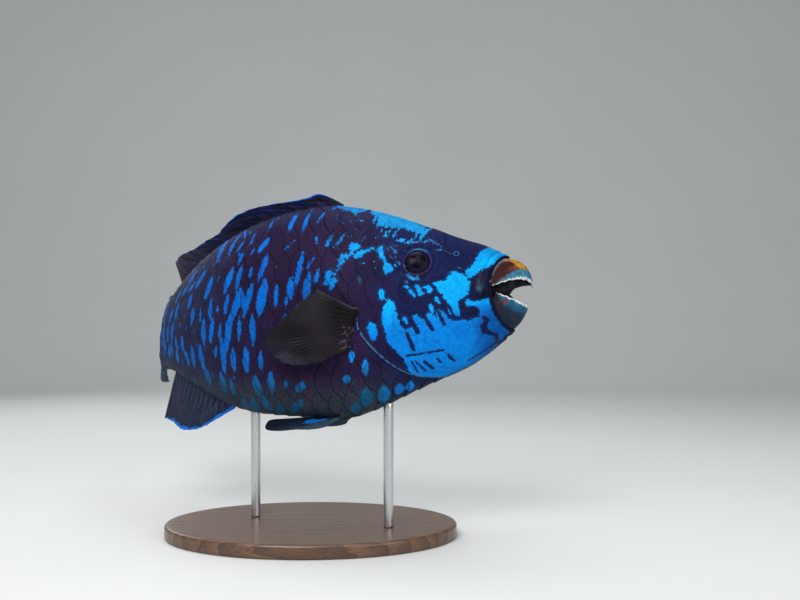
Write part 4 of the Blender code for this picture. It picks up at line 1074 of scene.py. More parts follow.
def make_skin():
    tau, grid, t, outside = skin_grid()
    rows, n = grid.shape[:2]
    verts = np.concatenate([grid.reshape(-1, 3), [place(0.150, 0, 0)], [place(1.026, 0, 0)]])
    i, j = (m.ravel() for m in np.meshgrid(np.arange(rows - 1), np.arange(n), indexing="ij"))
    k = (j + 1) % n
    quads = np.stack([i * n + j, i * n + k, (i + 1) * n + k, (i + 1) * n + j], 1)
    u0, u1, v0, v1 = j / n, (j + 1) / n, i / (rows - 1), (i + 1) / (rows - 1)
    uvq = np.stack([np.stack([u0, v0], -1), np.stack([u1, v0], -1), np.stack([u1, v1], -1), np.stack([u0, v1], -1)], 1) * 0.98 + 0.01
    j = np.arange(n)
    k = (j + 1) % n
    a = np.stack([np.full(n, rows * n), k, j], 1)
    b = np.stack([np.full(n, rows * n + 1), (rows - 1) * n + j, (rows - 1) * n + k], 1)
    uvt = np.zeros((2 * n, 3, 2))
    uvt[:n] = 0.004
    uvt[n:] = 0.996
    ts, taus = t, np.broadcast_to(tau, t.shape)
    mark, hue, ground = markings(np.clip(ts, -0.04, 1.05), taus)
    flesh = (outside < 0.25)
    # Painted shade: the flesh of the mouth's pocket darkens to about a third of its colour deeper inside the mouth.
    ground[flesh] = MOUTH_FLESH * (0.35 + 0.65 * smooth(ts[flesh] - lip_t(taus[flesh]), 0.05, 0.0)[:, None])
    mark = np.where(outside < 0.75, -9.0, mark)
    add = lambda v, x: np.concatenate([v.reshape(rows * n, *v.shape[2:]), x])
    attrs = {
        "mark": add(mark, [-9.0, -9.0]),
        "hue": add(hue, np.tile(BODY_BLUE, (2, 1))),
        "ground": add(ground, np.tile(LIP_DARK, (2, 1))),
    }
    flip = volume(verts, quads) < 0
    return build("skin_fish", verts, quads, uvq, attrs, SKIN, np.concatenate([a, b]), uvt, flip)


# ---------------------------------------------------------------- the coat of scales
def make_scales(name, picked, box):
    """One solid plate per scale, all in one mesh; box is its share of the unwrap."""
    rng = np.random.RandomState(len(picked) * 7 + len(name))
    nx, nq = 13, 17
    t_c = np.array([p[3] for p in picked])[:, None, None]
    share = np.array([p[4] for p in picked])[:, None, None]
    side = np.array([p[0] for p in picked])[:, None, None]
    head = np.array([p[6] == "head" for p in picked])[:, None, None]
    count = len(picked)
    k = scale_step(t_c) / SCALE_STEP * np.where(head, 0.96, 1.0)
    pitch = 0.112 * (arc_up(t_c) - arc_down(t_c)) * np.where(head, 0.97, 1.0)
    p = np.linspace(0, 1, nx)[None, :, None] ** 0.85
    q = np.linspace(-1, 1, nq)[None, None, :]
    b = 0.80 * q
    wobble = 0.35 * np.sin(b * 9 + rng.uniform(0, 6.3, (count, 1, 1)))
    rear = (SCALE_REAR_MM - 16.8 * b**2) * k + wobble
    front = (-SCALE_FRONT_MM + 5.0 * q**4) * k
    x = front + (rear - front) * p
    da = b * pitch + 0 * p
    angle = rng.normal(size=(count, 1, 1)) * 0.022
    x, da = x - angle * da, da + angle * x
    lift1 = np.where(head, 0.44, SCALE_LIFT_MM[1])
    along = np.clip((x / k + SCALE_FRONT_MM) / (SCALE_FRONT_MM + SCALE_REAR_MM), 0, 1)
    lift = SCALE_LIFT_MM[0] + (lift1 - SCALE_LIFT_MM[0]) * along - 0.28 * q**2 + rng.normal(size=(count, 1, 1)) * 0.03
    lift = lift - 0.16 * (p > 0.999) + 0.12 * np.exp(-(((p - 0.90) / 0.07) ** 2))
    t = t_c + x / (SL * 1000)
    middle = share * np.where(share > 0, arc_up(t), -arc_down(t))
    a = middle + da
    over_top, under = a > arc_up(t), a < arc_down(t)
    a = np.where(over_top, 2 * arc_up(t) - a, np.where(under, 2 * arc_down(t) - a, a))
    tau = tau_of_arc(t, a) * side * np.where(over_top | under, -1, 1)
    base = np.where(head, -sunk_mm(t, tau), -COAT_MM)
    thick = np.where(head, 0.22, SCALE_THICK_MM)
    top, low = over(t, tau, (base + lift) / 1000), over(t, tau, (base + lift - thick) / 1000)
    cells = nx * nq
    one = slab_parts(nx, nq)
    verts = np.concatenate([top.reshape(count, cells, 3), low.reshape(count, cells, 3)], 1).reshape(-1, 3)
    quads = (one[None] + (np.arange(count) * 2 * cells)[:, None, None]).reshape(-1, 4)
    mark, hue, ground = markings(t, tau)
    shade = rng.uniform(0.86, 1.14, (count, 1, 1, 1))
    hue, ground = hue * shade, ground * shade
    edge_mm = (rear - front) * (1 - p)
    rim = (np.clip(1 - edge_mm / 1.5, 0, 1) + 0 * x) * np.where(head, 0.10, 1.0)
    local = np.stack([(x / k + 7) * 0.9, da * 0.55, 0 * x], -1)
    twice = lambda v: np.concatenate([v.reshape(count, cells, *v.shape[3:])] * 2, 1).reshape((count * 2 * cells,) + v.shape[3:])
    attrs = {"mark": twice(mark), "hue": twice(hue), "ground": twice(ground), "rim": twice(rim), "local": twice(local)}
    # the unwrap: length of the body across, girth up; each scale its own patch there
    t0, t1 = box
    cell_u, cell_v = 0.92 * SCALE_STEP / (t1 - t0), 0.92 * 0.098
    root_u, root_v = (t_c - t0) / (t1 - t0), (share + 1.12) / 2.24
    pu = root_u + cell_u * (np.linspace(-0.5, 0.34, nx)[None, :, None]) + 0 * q
    pv = root_v + cell_v * 0.5 * q + 0 * pu
    lu = root_u + cell_u * (np.linspace(0.38, 0.5, nx)[None, :, None]) + 0 * q
    uv = np.concatenate([np.stack([pu, pv], -1).reshape(count, cells, 2), np.stack([lu, pv], -1).reshape(count, cells, 2)], 1)
    uv = 0.03 + 0.94 * uv.reshape(-1, 2)
    uvq = uv[quads].reshape(count, len(one), 4, 2)
    rim_faces = 2 * (nx + nq) - 4
    uvq[:, -rim_faces:, 2] = uvq[:, -rim_faces:, 1]
    uvq[:, -rim_faces:, 3] = uvq[:, -rim_faces:, 0]
    flip = volume(verts[: 2 * cells], one) < 0
    obj = build(name, verts, quads, uvq.reshape(-1, 4, 2), attrs, COAT, flip=flip)
    return obj


def make_coat():
    pieces = []
    for side, word in ((1, "right"), (-1, "left")):
        for lo, hi, part in ((0.0, 0.50, "front"), (0.50, 1.2, "rear")):
            picked = [s for s in LATTICE if s[0] == side and lo <= s[3] < hi]
            box = (min(s[3] for s in picked) - 0.02, max(s[3] for s in picked) + 0.02)
            pieces.append(make_scales("scales_%s_%s" % (part, word), picked, box))
    return pieces


# ---------------------------------------------------------------- the eyes
def make_eye(side, word):
    tau = np.array(EYE_TAU * side)
    at = body(EYE_T, tau)
    along = body(EYE_T + 0.01, tau) - body(EYE_T - 0.01, tau)
    around = body(EYE_T, tau + 0.05) - body(EYE_T, tau - 0.05)
    out = np.cross(along, around)
    out /= np.linalg.norm(out)
    if np.dot(out, at - place(EYE_T, 0, 0)) < 0:
        out = -out
    ahead = -along / np.linalg.norm(along)
    up = np.cross(out, ahead) * (1 if np.cross(out, ahead)[2] > 0 else -1)
    squash, radius, proud = 0.80, EYE_R * 1.02, 0.0033
    centre = at - out * (radius * squash - proud)
    rings = np.concatenate([np.linspace(0.012, 0.9, 72), np.linspace(0.93, math.pi - 0.15, 26)])
    around_n = 128
    b = np.linspace(0, 2 * math.pi, around_n, endpoint=False)
    a, bb = np.meshgrid(rings, b, indexing="ij")
    # the pupil looks a little up and forward
    gaze_f, gaze_u = 0.035, 0.075
    px, pz = np.sin(a) * np.cos(bb) - gaze_f, np.sin(a) * np.sin(bb) - gaze_u
    mm = np.hypot(px, pz) * radius * 1000
    shape = 1.0 + 0 * mm
    bulge = 0.00010 * (1 - smooth(mm, 2.4, 3.4)) - 0.00014 * smooth(mm, 2.9, 4.2) * (1 - smooth(mm, 6.0, 8.8))
    bulge = bulge + 0.00006 * np.exp(-(((mm - 9.2) / 0.8) ** 2)) * (mm > 5)
    bulge = bulge + 0.00002 * np.sin(np.arctan2(pz, px) * 34) * smooth(mm, 3.4, 4.4) * (1 - smooth(mm, 6.5, 8.0))
    front_only = a < 1.2
    pts = (
        centre
        + (radius * squash * np.cos(a) * shape + bulge * front_only)[..., None] * out
        + (radius * np.sin(a) * np.cos(bb))[..., None] * ahead
        + (radius * np.sin(a) * np.sin(bb))[..., None] * up
    )
    rows = len(rings)
    verts = np.concatenate([pts.reshape(-1, 3), [centre + out * (radius * squash + bulge[0].mean())], [centre - out * radius * squash]])
    i, j = (m.ravel() for m in np.meshgrid(np.arange(rows - 1), np.arange(around_n), indexing="ij"))
    k = (j + 1) % around_n
    quads = np.stack([i * around_n + j, i * around_n + k, (i + 1) * around_n + k, (i + 1) * around_n + j], 1)
    uv = np.stack([0.5 + 0.49 * (a / math.pi) * np.cos(bb), 0.5 + 0.49 * (a / math.pi) * np.sin(bb)], -1).reshape(-1, 2)
    uvq = uv[quads]
    j = np.arange(around_n)
    k = (j + 1) % around_n
    t_a = np.stack([np.full(around_n, rows * around_n), k, j], 1)
    t_b = np.stack([np.full(around_n, rows * around_n + 1), (rows - 1) * around_n + j, (rows - 1) * around_n + k], 1)
    uvt = np.zeros((2 * around_n, 3, 2)) + 0.5
    uvt[:around_n, 1], uvt[:around_n, 2] = uv[k], uv[j]
    uvt[around_n:] = 0.99
    # The pupil's greenish grey is painted sheen on a near-black pupil; it is made lighter towards the pupil's middle
    # and at its pole.
    pupil, iris, ring, white = (np.array(c) for c in ((0.0080, 0.0130, 0.0160), (0.0022, 0.0016, 0.0060), (0.0100, 0.0060, 0.0180), (0.0060, 0.0050, 0.0140)))
    ground = np.empty(mm.shape + (3,))
    k1, k2, k3 = smooth(mm, 2.7, 3.1)[..., None], smooth(mm, 7.9, 8.5)[..., None], smooth(mm, 9.6, 10.4)[..., None]
    glow = (pupil * (0.7 + 0.9 * np.exp(-((mm / 1.8) ** 2)))[..., None])
    ground[:] = glow * (1 - k1) + iris * k1
    thin = (np.exp(-(((mm - 3.7) / 0.28) ** 2)) * 0.8)[..., None]
    ground = ground * (1 - thin) + np.array([0.010, 0.008, 0.012]) * thin
    ground = ground * (1 - k2) + ring * k2
    ground = ground * (1 - k3) + white * k3
    hue = ground * 1.6 + np.array([0.0012, 0.0006, 0.0012])
    flat = lambda v, x: np.concatenate([v.reshape(-1, *v.shape[2:]), x])
    attrs = {"ground": flat(ground, [pupil * 1.5, white]), "hue": flat(hue, [pupil * 1.6, white])}
    tris = np.concatenate([t_a, t_b])
    obj = build("eyeball_" + word, verts, quads, uvq, attrs, EYE, tris, uvt, flip=volume(verts, quads) < 0)
    return obj


# ---------------------------------------------------------------- the beak
def make_beak(upper, word):
    rows, cols = 64, 230
    s = np.linspace(-1, 1, cols)[None, :]
    v = np.linspace(0, 1, rows)[:, None]
    a = s * math.pi / 2
    corner, front = np.sin(a), np.maximum(np.cos(a), 0)
    jag = 0.0016 * np.abs(np.sin(s * 21.0 + 0.6 * np.sin(s * 7))) ** 0.7 - 0.0006 + 0.0006 * np.sin(s * 53 + 1)
    jag = jag * front**0.4
    if upper:
        root_tau = 1.34 * np.sign(s) * np.abs(s) ** 0.9
        edge_t = 0.050 - 0.086 * front**1.15
        edge_z = 0.0150 + 0.011 * np.sin(math.pi * np.abs(s)) - 0.0065 * front**5 + jag
        half = BEAK_HALF_UPPER
    else:
        root_tau = math.pi - 1.50 * np.sign(s) * np.abs(s) ** 0.9
        edge_t = 0.044 - 0.067 * front**1.15
        edge_z = 0.0020 - 0.0310 * front**1.25 - jag
        half = BEAK_HALF_LOWER

    def under_lip(ahead, sunk):
        t = lip_t(root_tau) + ahead
        y, z = section(t, root_tau)
        k = 1 - sunk / np.hypot(y, z)
        return t, y * k, z * k

    rt, ry, rz = under_lip(0.0, BEAK_ROOT_SUNK)
    ey, ez = -half * SL * corner, edge_z * SL
    if upper:
        mid_t, mid_y, mid_z = edge_t + 0.002, ey * 1.08, rz * 0.93 + 0 * ez
    else:
        mid_t, mid_y = (rt + edge_t) / 2, (ry + ey * 1.06) / 2
        mid_z = (rz + ez) / 2 - 0.010 * SL * front
    b0, b1, b2 = (1 - v) ** 2, 2 * v * (1 - v), v**2
    t = rt * b0 + mid_t * b1 + edge_t * b2
    y = ry * b0 + mid_y * b1 + ey * b2
    z = rz * b0 + mid_z * b1 + ez * b2
    for ahead, deeper in ((0.006, 0.0003), (0.012, 0.0006)):
        ht, hy, hz = under_lip(ahead, BEAK_ROOT_SUNK + deeper)
        t, y, z = (np.vstack([h, g]) for h, g in ((ht, t), (hy, y), (hz, z)))
    v = np.concatenate([[[-0.2], [-0.1]], v])
    outer = place(t, y, z)
    thick = 0.0030 * (1 - np.clip(v, 0, 1)) + 0.0012 * np.clip(v, 0, 1) ** 2 + 0 * s
    n = normals_of(outer)
    if np.mean(np.sum(n * (place(0.06, 0, float(ez.mean())) - outer), -1)) < 0:
        n = -n
    # rows of small fused teeth that stand out towards the edge, a seam in front
    vv = np.clip(v, 0, 1)
    rows_of = vv * 9.0
    teeth = np.cos((s * 17.0 + 0.5 * np.floor(rows_of)) * 2 * math.pi) * 0.5 + 0.5
    knob = (teeth * np.sin(np.mod(rows_of, 1.0) * math.pi)) ** 1.3 * smooth(vv, 0.35, 0.75)
    seam = np.exp(-((s / 0.018) ** 2)) * smooth(vv, 0.05, 0.3)
    wear = ripple(s * 3, vv * 2, 0 * s, 21 + upper, 6.0)
    out = 0.00020 * knob - 0.00055 * seam + 0.00012 * wear * smooth(vv, 0.1, 0.3)
    outer_face = outer - n * out[..., None]
    inner_face = outer + n * thick[..., None]
    # colours, root to edge
    S, V = np.abs(s) + 0 * v, vv + 0 * s
    lean = ripple(s * 2, vv, 0 * s, 5, 5.0) * 0.09
    rag = ripple(s * 4, vv * 2.2, 0 * s, 6, 7.0) * 0.06
    if upper:
        teal, deep_teal, ochre, brown, pink, white = (np.array(c) for c in ((0.035, 0.190, 0.300), (0.008, 0.050, 0.130), (0.400, 0.205, 0.012), (0.030, 0.0030, 0.0022), (0.300, 0.080, 0.045), (0.560, 0.600, 0.600)))
        c = np.zeros(V.shape + (3,)) + ochre
        k = smooth(V + lean * 0.6 - 0.25 * S, 0.36, 0.56)[..., None]
        c = c * (1 - k * 0.75) + np.array([0.200, 0.190, 0.050]) * k * 0.75
        second = c * 0.0 + np.array([0.100, 0.018, 0.005])
        k = (smooth(S + lean + rag, 0.33, 0.46))[..., None]
        c = c * (1 - k) + brown * k
        second = second * (1 - k) + brown * 0.5 * k
        k = (1 - smooth(V, 0.02, 0.09))[..., None] * 0.8
        c = c * (1 - k) + np.array([0.110, 0.150, 0.180]) * k
        k = (np.exp(-(((S - 0.50 + lean) / 0.10) ** 2) - ((V - 0.53) / 0.10) ** 2))[..., None]
        k = np.minimum(k + 0.8 * (np.exp(-(((S - 0.80) / 0.10) ** 2) - ((V - 0.72) / 0.08) ** 2))[..., None], 1) * 0.55
        c = c * (1 - k) + pink * k
        second = second * (1 - k) + pink * 0.6 * k
        k = smooth(V + lean * 0.4 + rag * 0.4, 0.60 + 0.16 * smooth(S, 0.55, 0.9), 0.74 + 0.10 * smooth(S, 0.55, 0.9))[..., None]
        band = teal * (1 - 0.75 * (1 - smooth(S, 0.12, 0.45))[..., None]) + deep_teal * 0.75 * (1 - smooth(S, 0.12, 0.45))[..., None]
        c = c * (1 - k) + band * k
        second = second * (1 - k) + band * 0.55 * k
        k = (smooth(S, 0.93, 0.99) * smooth(V, 0.45, 0.7))[..., None]
        c = c * (1 - k) + white * 0.75 * k
    else:
        teal, deep, red, white = (np.array(c) for c in ((0.010, 0.110, 0.205), (0.0020, 0.009, 0.030), (0.130, 0.022, 0.018), (0.560, 0.620, 0.620)))
        c = np.zeros(V.shape + (3,)) + deep
        k = smooth(V + lean + rag - 0.12 * S, 0.34, 0.88)[..., None]
        c = c * (1 - k) + teal * k
        grey = (np.exp(-(((S - 0.42) / 0.16) ** 2) - ((V - 0.40) / 0.14) ** 2))[..., None] * 0.5
        c = c * (1 - grey) + np.array([0.030, 0.030, 0.055]) * grey
        k = (smooth(S + 0.3 * (0.5 - V), 0.74, 0.90))[..., None] * 0.95
        c = c * (1 - k) + np.array([0.008, 0.004, 0.010]) * k
        second = c * 0.55 + np.array([0.002, 0.006, 0.012])
        k = (np.exp(-(((S - 0.80 + 0.20 * (V - 0.6) + rag * 0.5) / 0.022) ** 2)) * smooth(V, 0.30, 0.5) * (1 - smooth(V, 0.86, 0.94)))[..., None]
        c = c * (1 - k) + red * k
        second = second * (1 - k) + red * 0.35 * k
    wide = 0.045 if upper else 0.030 + 0.030 * (1 - smooth(S, 0.0, 0.30))
    k = smooth(V + lean * 0.22 + 0.012 * np.sin(s * 90) + rag * 0.3, 0.945 - wide, 0.975 - wide)[..., None]
    c = c * (1 - k) + white * k
    second = second * (1 - k) + white * 0.72 * k
    return slab_object("beak_plate_" + word, outer_face, inner_face, {"ground": c, "hue": second}, BEAK)


# ---------------------------------------------------------------- the fins
def ray_profile(s, v, count, split):
    one = (0.5 + 0.5 * np.cos(2 * math.pi * s * count)) ** 3
    two = (0.5 + 0.5 * np.cos(4 * math.pi * s * count + math.pi)) ** 3
    four = (0.5 + 0.5 * np.cos(8 * math.pi * s * count + math.pi)) ** 2
    k, m = smooth(v, split - 0.08, split + 0.16), smooth(v, split + 0.22, split + 0.42)
    return one * (1 - k) + (two * (1 - m) + four * 0.8 * m) * k


def make_fin(name, centre, s, v, count, split, web, ray_mm, look, scallop=0.02):
    """A web of skin over its rays: centre(s, v) is the middle sheet in the world."""
    S, V = np.meshgrid(s, v)
    tip = (0.5 + 0.5 * np.cos(2 * math.pi * S * count)) ** 0.8
    Vs = V * (1 - scallop * (1 - tip) * smooth(V, 0.82, 1.0))
    mid = centre(S, Vs)
    n = normals_of(mid)
    ray = ray_profile(S, np.clip(V, 0, 1), count, split)
    vv = np.clip(V, 0, 1)
    half = (web[0] * (1 - vv) + web[1] * vv) / 2000 + ray_mm / 1000 * ray * (1 - 0.72 * vv)
    # ribs round off towards the tips
    half = half * (1 - 0.55 * smooth(V, 0.985, 1.0))
    look_at = look(S, np.clip(V, 0, 1), mid)
    look_at["ray"] = ray * (0.35 + 0.65 * smooth(vv, 0.0, 0.15))
    return slab_object(name, mid - n * half[..., None], mid + n * half[..., None], look_at, FIN)


dorsal_height = spline(
    (0.0, 0.02, 0.10, 0.25, 0.42, 0.52, 0.63, 0.70, 0.84, 0.95, 1.0),
    (0.004, 0.018, 0.024, 0.028, 0.040, 0.038, 0.033, 0.040, 0.064, 0.084, 0.082),
)
anal_height = spline((0.0, 0.06, 0.26, 0.48, 0.62, 0.80, 1.0), (0.004, 0.018, 0.064, 0.101, 0.112, 0.112, 0.112))


def median_sheet(ends, height_of, top, rake_front, rake_rear, wave, lean=None):
    """Rays from the body's line to the fin's outline; lean rakes the inner rays more."""
    line_of = back if top else lambda t: -belly(t)
    sign = 1 if top else -1
    ss = np.linspace(0, 1, 401)
    root_t = ends[0] + (ends[1] - ends[0]) * ss
    rise = height_of(ss)
    edge_t = root_t + rise * (rake_front + (rake_rear - rake_front) * ss)
    edge_z = line_of(np.minimum(edge_t, 1.0)) * 0.5 + line_of(root_t) * 0.5 + sign * rise
    if lean is not None:
        want = np.clip(root_t + rise * lean(ss), edge_t[0], edge_t[-1])
        want = np.maximum.accumulate(want)
        want[-1], want[0] = edge_t[-1], edge_t[0]
        edge_z = np.interp(want, edge_t, edge_z)
        edge_t = want

    def centre(s, v):
        t = ends[0] + (ends[1] - ends[0]) * s
        te, edge = np.interp(s, ss, edge_t), np.interp(s, ss, edge_z)
        root = line_of(t) + sign * 0.0004
        low = np.minimum(v, 0)
        vv = np.maximum(v, 0)
        h = np.abs(edge - root)
        # rays leave the body steeply and curve backwards
        tt = t * (1 - vv) + te * vv - 0.10 * np.sin(vv * math.pi) * (te - t) * (lean is not None) + 0.03 * np.sin(vv * math.pi) * h
        line = line_of(np.minimum(tt, 1.0)) + sign * 0.0004
        zz = root * (1 - vv) + edge * vv
        zz = np.where(vv > 0, np.maximum(sign * zz, sign * line + 0.002 * vv) * sign, zz) + sign * low * 0.045
        y = 0.0011 * vv * np.sin(s * wave + vv * 2.0) + 0.0004 * vv * np.sin(s * wave * 3.1 + 1)
        return place(tt, y, zz * SL)

    return centre


def fin_look(ground, streak, hue, mark):
    shape = mark.shape
    full = lambda c: np.broadcast_to(np.asarray(c, float), shape + (3,)) if np.ndim(c) == 1 else c
    return {"ground": full(ground), "streak": full(streak), "hue": full(hue), "mark": mark}


def dorsal_look(s, v, p):
    rear = smooth(s, 0.62, 0.85)[..., None]
    blot = ripple(s * 1.6 - 0.5 * v, 0.3 * v, 0 * v, 81, 22.0)
    ground = np.array([0.0018, 0.0075, 0.0460]) * (1 - rear) + np.array([0.0100, 0.0110, 0.0390]) * rear
    ground = ground * (1 + 0.6 * blot)[..., None]
    raked = smooth(ripple(s * 9.0 - 1.1 * v, 0.25 * v, 0 * v, 82, 12.0), 0.05, 0.60)[..., None]
    ground = ground * (1 - 0.8 * raked) + np.array([0.0130, 0.0060, 0.0280]) * 0.8 * raked
    black = smooth(ripple(s * 8.0 - 1.0 * v, 0.2 * v, 0 * v, 83, 14.0), 0.10, 0.55)[..., None]
    ground = ground * (1 - 0.75 * black)
    root = (1 - smooth(v, 0.0, 0.30))[..., None] * 0.75
    ground = ground * (1 - root) + MAROON * 0.8 * root
    streak = np.array([0.0006, 0.0010, 0.0050]) * (1 - rear) + np.array([0.0022, 0.0026, 0.0100]) * rear
    from_edge = (1 - v) * dorsal_height(s) * SL * 1000
    mark = 0.55 + 0.7 * (1 - smooth(s, 0.06, 0.20)) + 0.35 * np.sin(s * 40) * (s > 0.2) - from_edge
    return fin_look(ground, streak, np.array([0.001, 0.120, 0.560]), mark)


def anal_look(s, v, p):
    ground = np.array([0.011, 0.020, 0.052]) * (1 - 0.35 * v[..., None]) + np.array([0.002, 0.002, 0.004])
    root = (1 - smooth(v, 0.0, 0.16))[..., None] * 0.5
    ground = ground * (1 - root) + BELLY_DARK * root
    from_edge = (1 - v) * anal_height(s) * SL * 1000
    band = 3.4 + 1.0 * np.sin(s * 11 + 0.6) + 0.9 * np.sin(s * 47) - 5.5 * smooth(s, 0.93, 1.0)
    return fin_look(ground, np.array([0.048, 0.060, 0.095]), np.array([0.002, 0.140, 0.640]), band - from_edge)


def caudal_centre(s, v):
    z0 = 0.0875 * s
    z1 = CAUDAL_LOBE_Z * np.sign(s) * np.abs(s) ** 0.92
    fork = CAUDAL_FORK_T + (CAUDAL_LOBE_T - CAUDAL_FORK_T) * np.abs(s) ** 1.6
    vv, low = np.maximum(v, 0), np.minimum(v, 0)
    t = 0.9986 * (1 - vv) + fork * vv + low * 0.10
    z = z0 * (1 - vv) + z1 * vv + 0.010 * np.sin(vv * math.pi) * s
    y = 0.0022 * vv * np.sin(s * 4.0 + vv * 2.5)
    return place(t, y, z * SL)


def caudal_look(s, v, p):
    ground = np.array([0.012, 0.018, 0.050]) + np.array([0.020, 0.024, 0.028]) * smooth(v, 0.55, 1.0)[..., None]
    root = (1 - smooth(v, 0.0, 0.30))[..., None] * 0.7
    ground = ground * (1 - root) + (NAVY * 0.5 + MAROON * 0.5) * root
    side = (1 - np.abs(s)) * 60
    mark = np.maximum(1.6 - side, 0.2 - (1 - v) * 70)
    return fin_look(ground, np.array([0.030, 0.040, 0.070]), np.array([0.012, 0.050, 0.110]), mark)


PECTORAL = (
    (0.3075, -0.0945, -0.008),
    (0.3320, -0.0925, -0.090),
    (
        (0.366, -0.111, 0.033), (0.398, -0.121, 0.008), (0.424, -0.129, -0.021), (0.451, -0.131, -0.046),
        (0.463, -0.129, -0.071), (0.450, -0.124, -0.091), (0.435, -0.116, -0.106), (0.409, -0.108, -0.112),
        (0.382, -0.099, -0.113),
    ),
)
PELVIC = (
    (0.336, -0.0120, -0.2178),
    (0.366, -0.0340, -0.2200),
    (
        (0.430, -0.012, -0.2250), (0.492, -0.014, -0.2180), (0.523, -0.024, -0.2180), (0.518, -0.045, -0.2310),
        (0.446, -0.058, -0.2380), (0.400, -0.060, -0.2380), (0.386, -0.054, -0.2350),
    ),
)


def fan_sheet(corners, lift, side, tuck):
    flip = np.array([1, side, 1.0])
    top, low = np.array(corners[0]) * flip, np.array(corners[1]) * flip
    tips = np.array(corners[2]) * flip
    along = np.concatenate([[0], np.cumsum(np.linalg.norm(np.diff(tips, axis=0), axis=1))])
    along /= along[-1]
    edges = [spline(along, tips[:, k]) for k in range(3)]

    def centre(s, v):
        edge = np.stack([e(s) for e in edges], -1)
        root = top * (1 - s[..., None]) + low * s[..., None]
        vv = np.maximum(v, 0)[..., None]
        mid = root * (1 - vv) + edge * vv
        mid = mid + lift * side * np.sin(vv * math.pi) * np.array([0, -1.0, 0])
        mid = mid + np.minimum(v, 0)[..., None] * np.array(tuck) * flip
        ripple_y = 0.0022 * side * vv[..., 0] * np.sin(s * 9.0 + vv[..., 0] * 2)
        return place(mid[..., 0], (mid[..., 1] + ripple_y) * SL, mid[..., 2] * SL)

    return centre


def pectoral_look(s, v, p):
    x, y, z = p[..., 0], p[..., 1], p[..., 2]
    blot, grain = ripple(x, y, z, 71, 130), ripple(x, y, z, 72, 900)
    tips = (smooth(v, 0.66, 1.0) * (0.15 + 0.85 * smooth(s, 0.40, 0.62)))[..., None]
    ground = np.array([0.0080, 0.0062, 0.0085]) * (1 + 0.45 * blot)[..., None] + np.array([0.004, 0.007, 0.020]) * tips
    base = ((1 - smooth(v, 0.03, 0.22)) * smooth(s, 0.30, 0.46) * (1 - smooth(s, 0.90, 1.0)) * (0.80 + 0.35 * grain)).clip(0, 1)[..., None]
    specks = np.where(base[..., 0] > 0.02, 1.4 * base[..., 0] - 1.30, -9.0)
    lead = (np.exp(-((s / 0.030) ** 2)) * (0.25 + 0.75 * (1 - smooth(v, 0.15, 0.5))))[..., None]
    ground = ground * (1 - lead) + np.array([0.060, 0.058, 0.090]) * lead
    wisp = (np.clip(0.5 + 0.9 * ripple(x, y, z, 73, 240), 0, 1) * smooth(v, 0.35, 0.95) * (0.2 + 0.8 * smooth(s, 0.45, 0.60)))[..., None]
    streak = np.array([0.012, 0.010, 0.012]) + np.array([0.060, 0.066, 0.085]) * wisp
    return fin_look(ground, streak, np.array([0.085, 0.060, 0.095]), specks)


def pelvic_look(s, v, p):
    ground = np.array([0.004, 0.007, 0.018]) + np.array([0.028, 0.052, 0.070]) * smooth(s, 0.58, 0.85)[..., None]
    root = (1 - smooth(v, 0.02, 0.24))[..., None]
    ground = ground * (1 - root) + BELLY_DARK * 0.75 * root
    mark = 1.3 - np.abs(s - 0.50 - 0.04 * np.sin(v * 5)) * 15 - 3.5 * smooth(v, 0.40, 0.86) - 4 * (1 - smooth(v, 0.16, 0.32)) + 0.4 * np.sin(v * 31)
    streak = np.array([0.030, 0.055, 0.080]) * smooth(s, 0.3, 0.7)[..., None] * (1 - 0.8 * root) + 0.003
    return fin_look(ground, streak, np.array([0.002, 0.120, 0.420]), mark)


def make_fins():
    v = np.concatenate([np.linspace(-0.10, 0, 4, endpoint=False), np.linspace(0, 0.96, 30), [0.975, 0.987, 1.0]])
    dorsal = median_sheet(DORSAL_T, dorsal_height, True, 0.9, 1.45, 26.0, lambda s: 0.9 + 1.7 * smooth(s, 0.02, 0.2) - 1.15 * smooth(s, 0.60, 1.0))
    anal = median_sheet(ANAL_T, anal_height, False, 0.25, 0.50, 15.0)
    jobs = (
        ("fin_dorsal", dorsal, np.linspace(0, 1, 421), v, 20.0, 0.45, (1.5, 0.5), 0.55, dorsal_look, "dorsal_fin", 0.022),
        ("fin_anal", anal, np.linspace(0, 1, 321), v, 14.0, 0.36, (1.5, 0.5), 0.50, anal_look, "anal_fin", 0.012),
        ("fin_caudal", caudal_centre, np.linspace(-1, 1, 401), v, 8.0, 0.22, (3.2, 0.7), 0.55, caudal_look, "caudal_fin", 0.018),
    )
    for name, centre, s, vs, count, split, web, ray_mm, look, node, notch in jobs:
        obj = make_fin(name, centre, s, vs, count, split, web, ray_mm, look, notch)
        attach(obj, "root")
        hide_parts(node)
    for side, word in ((1, "right"), (-1, "left")):
        sheet = fan_sheet(PECTORAL, 0.008, side, (0.10, -0.16, 0.0))
        obj = make_fin("fin_pectoral_" + word, sheet, np.linspace(0, 1, 261), v, 13.0, 0.34, (2.6, 0.5), 0.30, pectoral_look, 0.035)
        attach(obj, "root")
        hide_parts("pectoral_fin_" + word)
        sheet = fan_sheet(PELVIC, 0.0, side, (0.05, 0.0, -0.22))
        obj = make_fin("fin_pelvic_" + word, sheet, np.linspace(0, 1, 141), v, 6.0, 0.34, (2.4, 0.6), 0.50, pelvic_look, 0.015)
        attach(obj, "root")
        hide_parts("pelvic_fin_" + word)


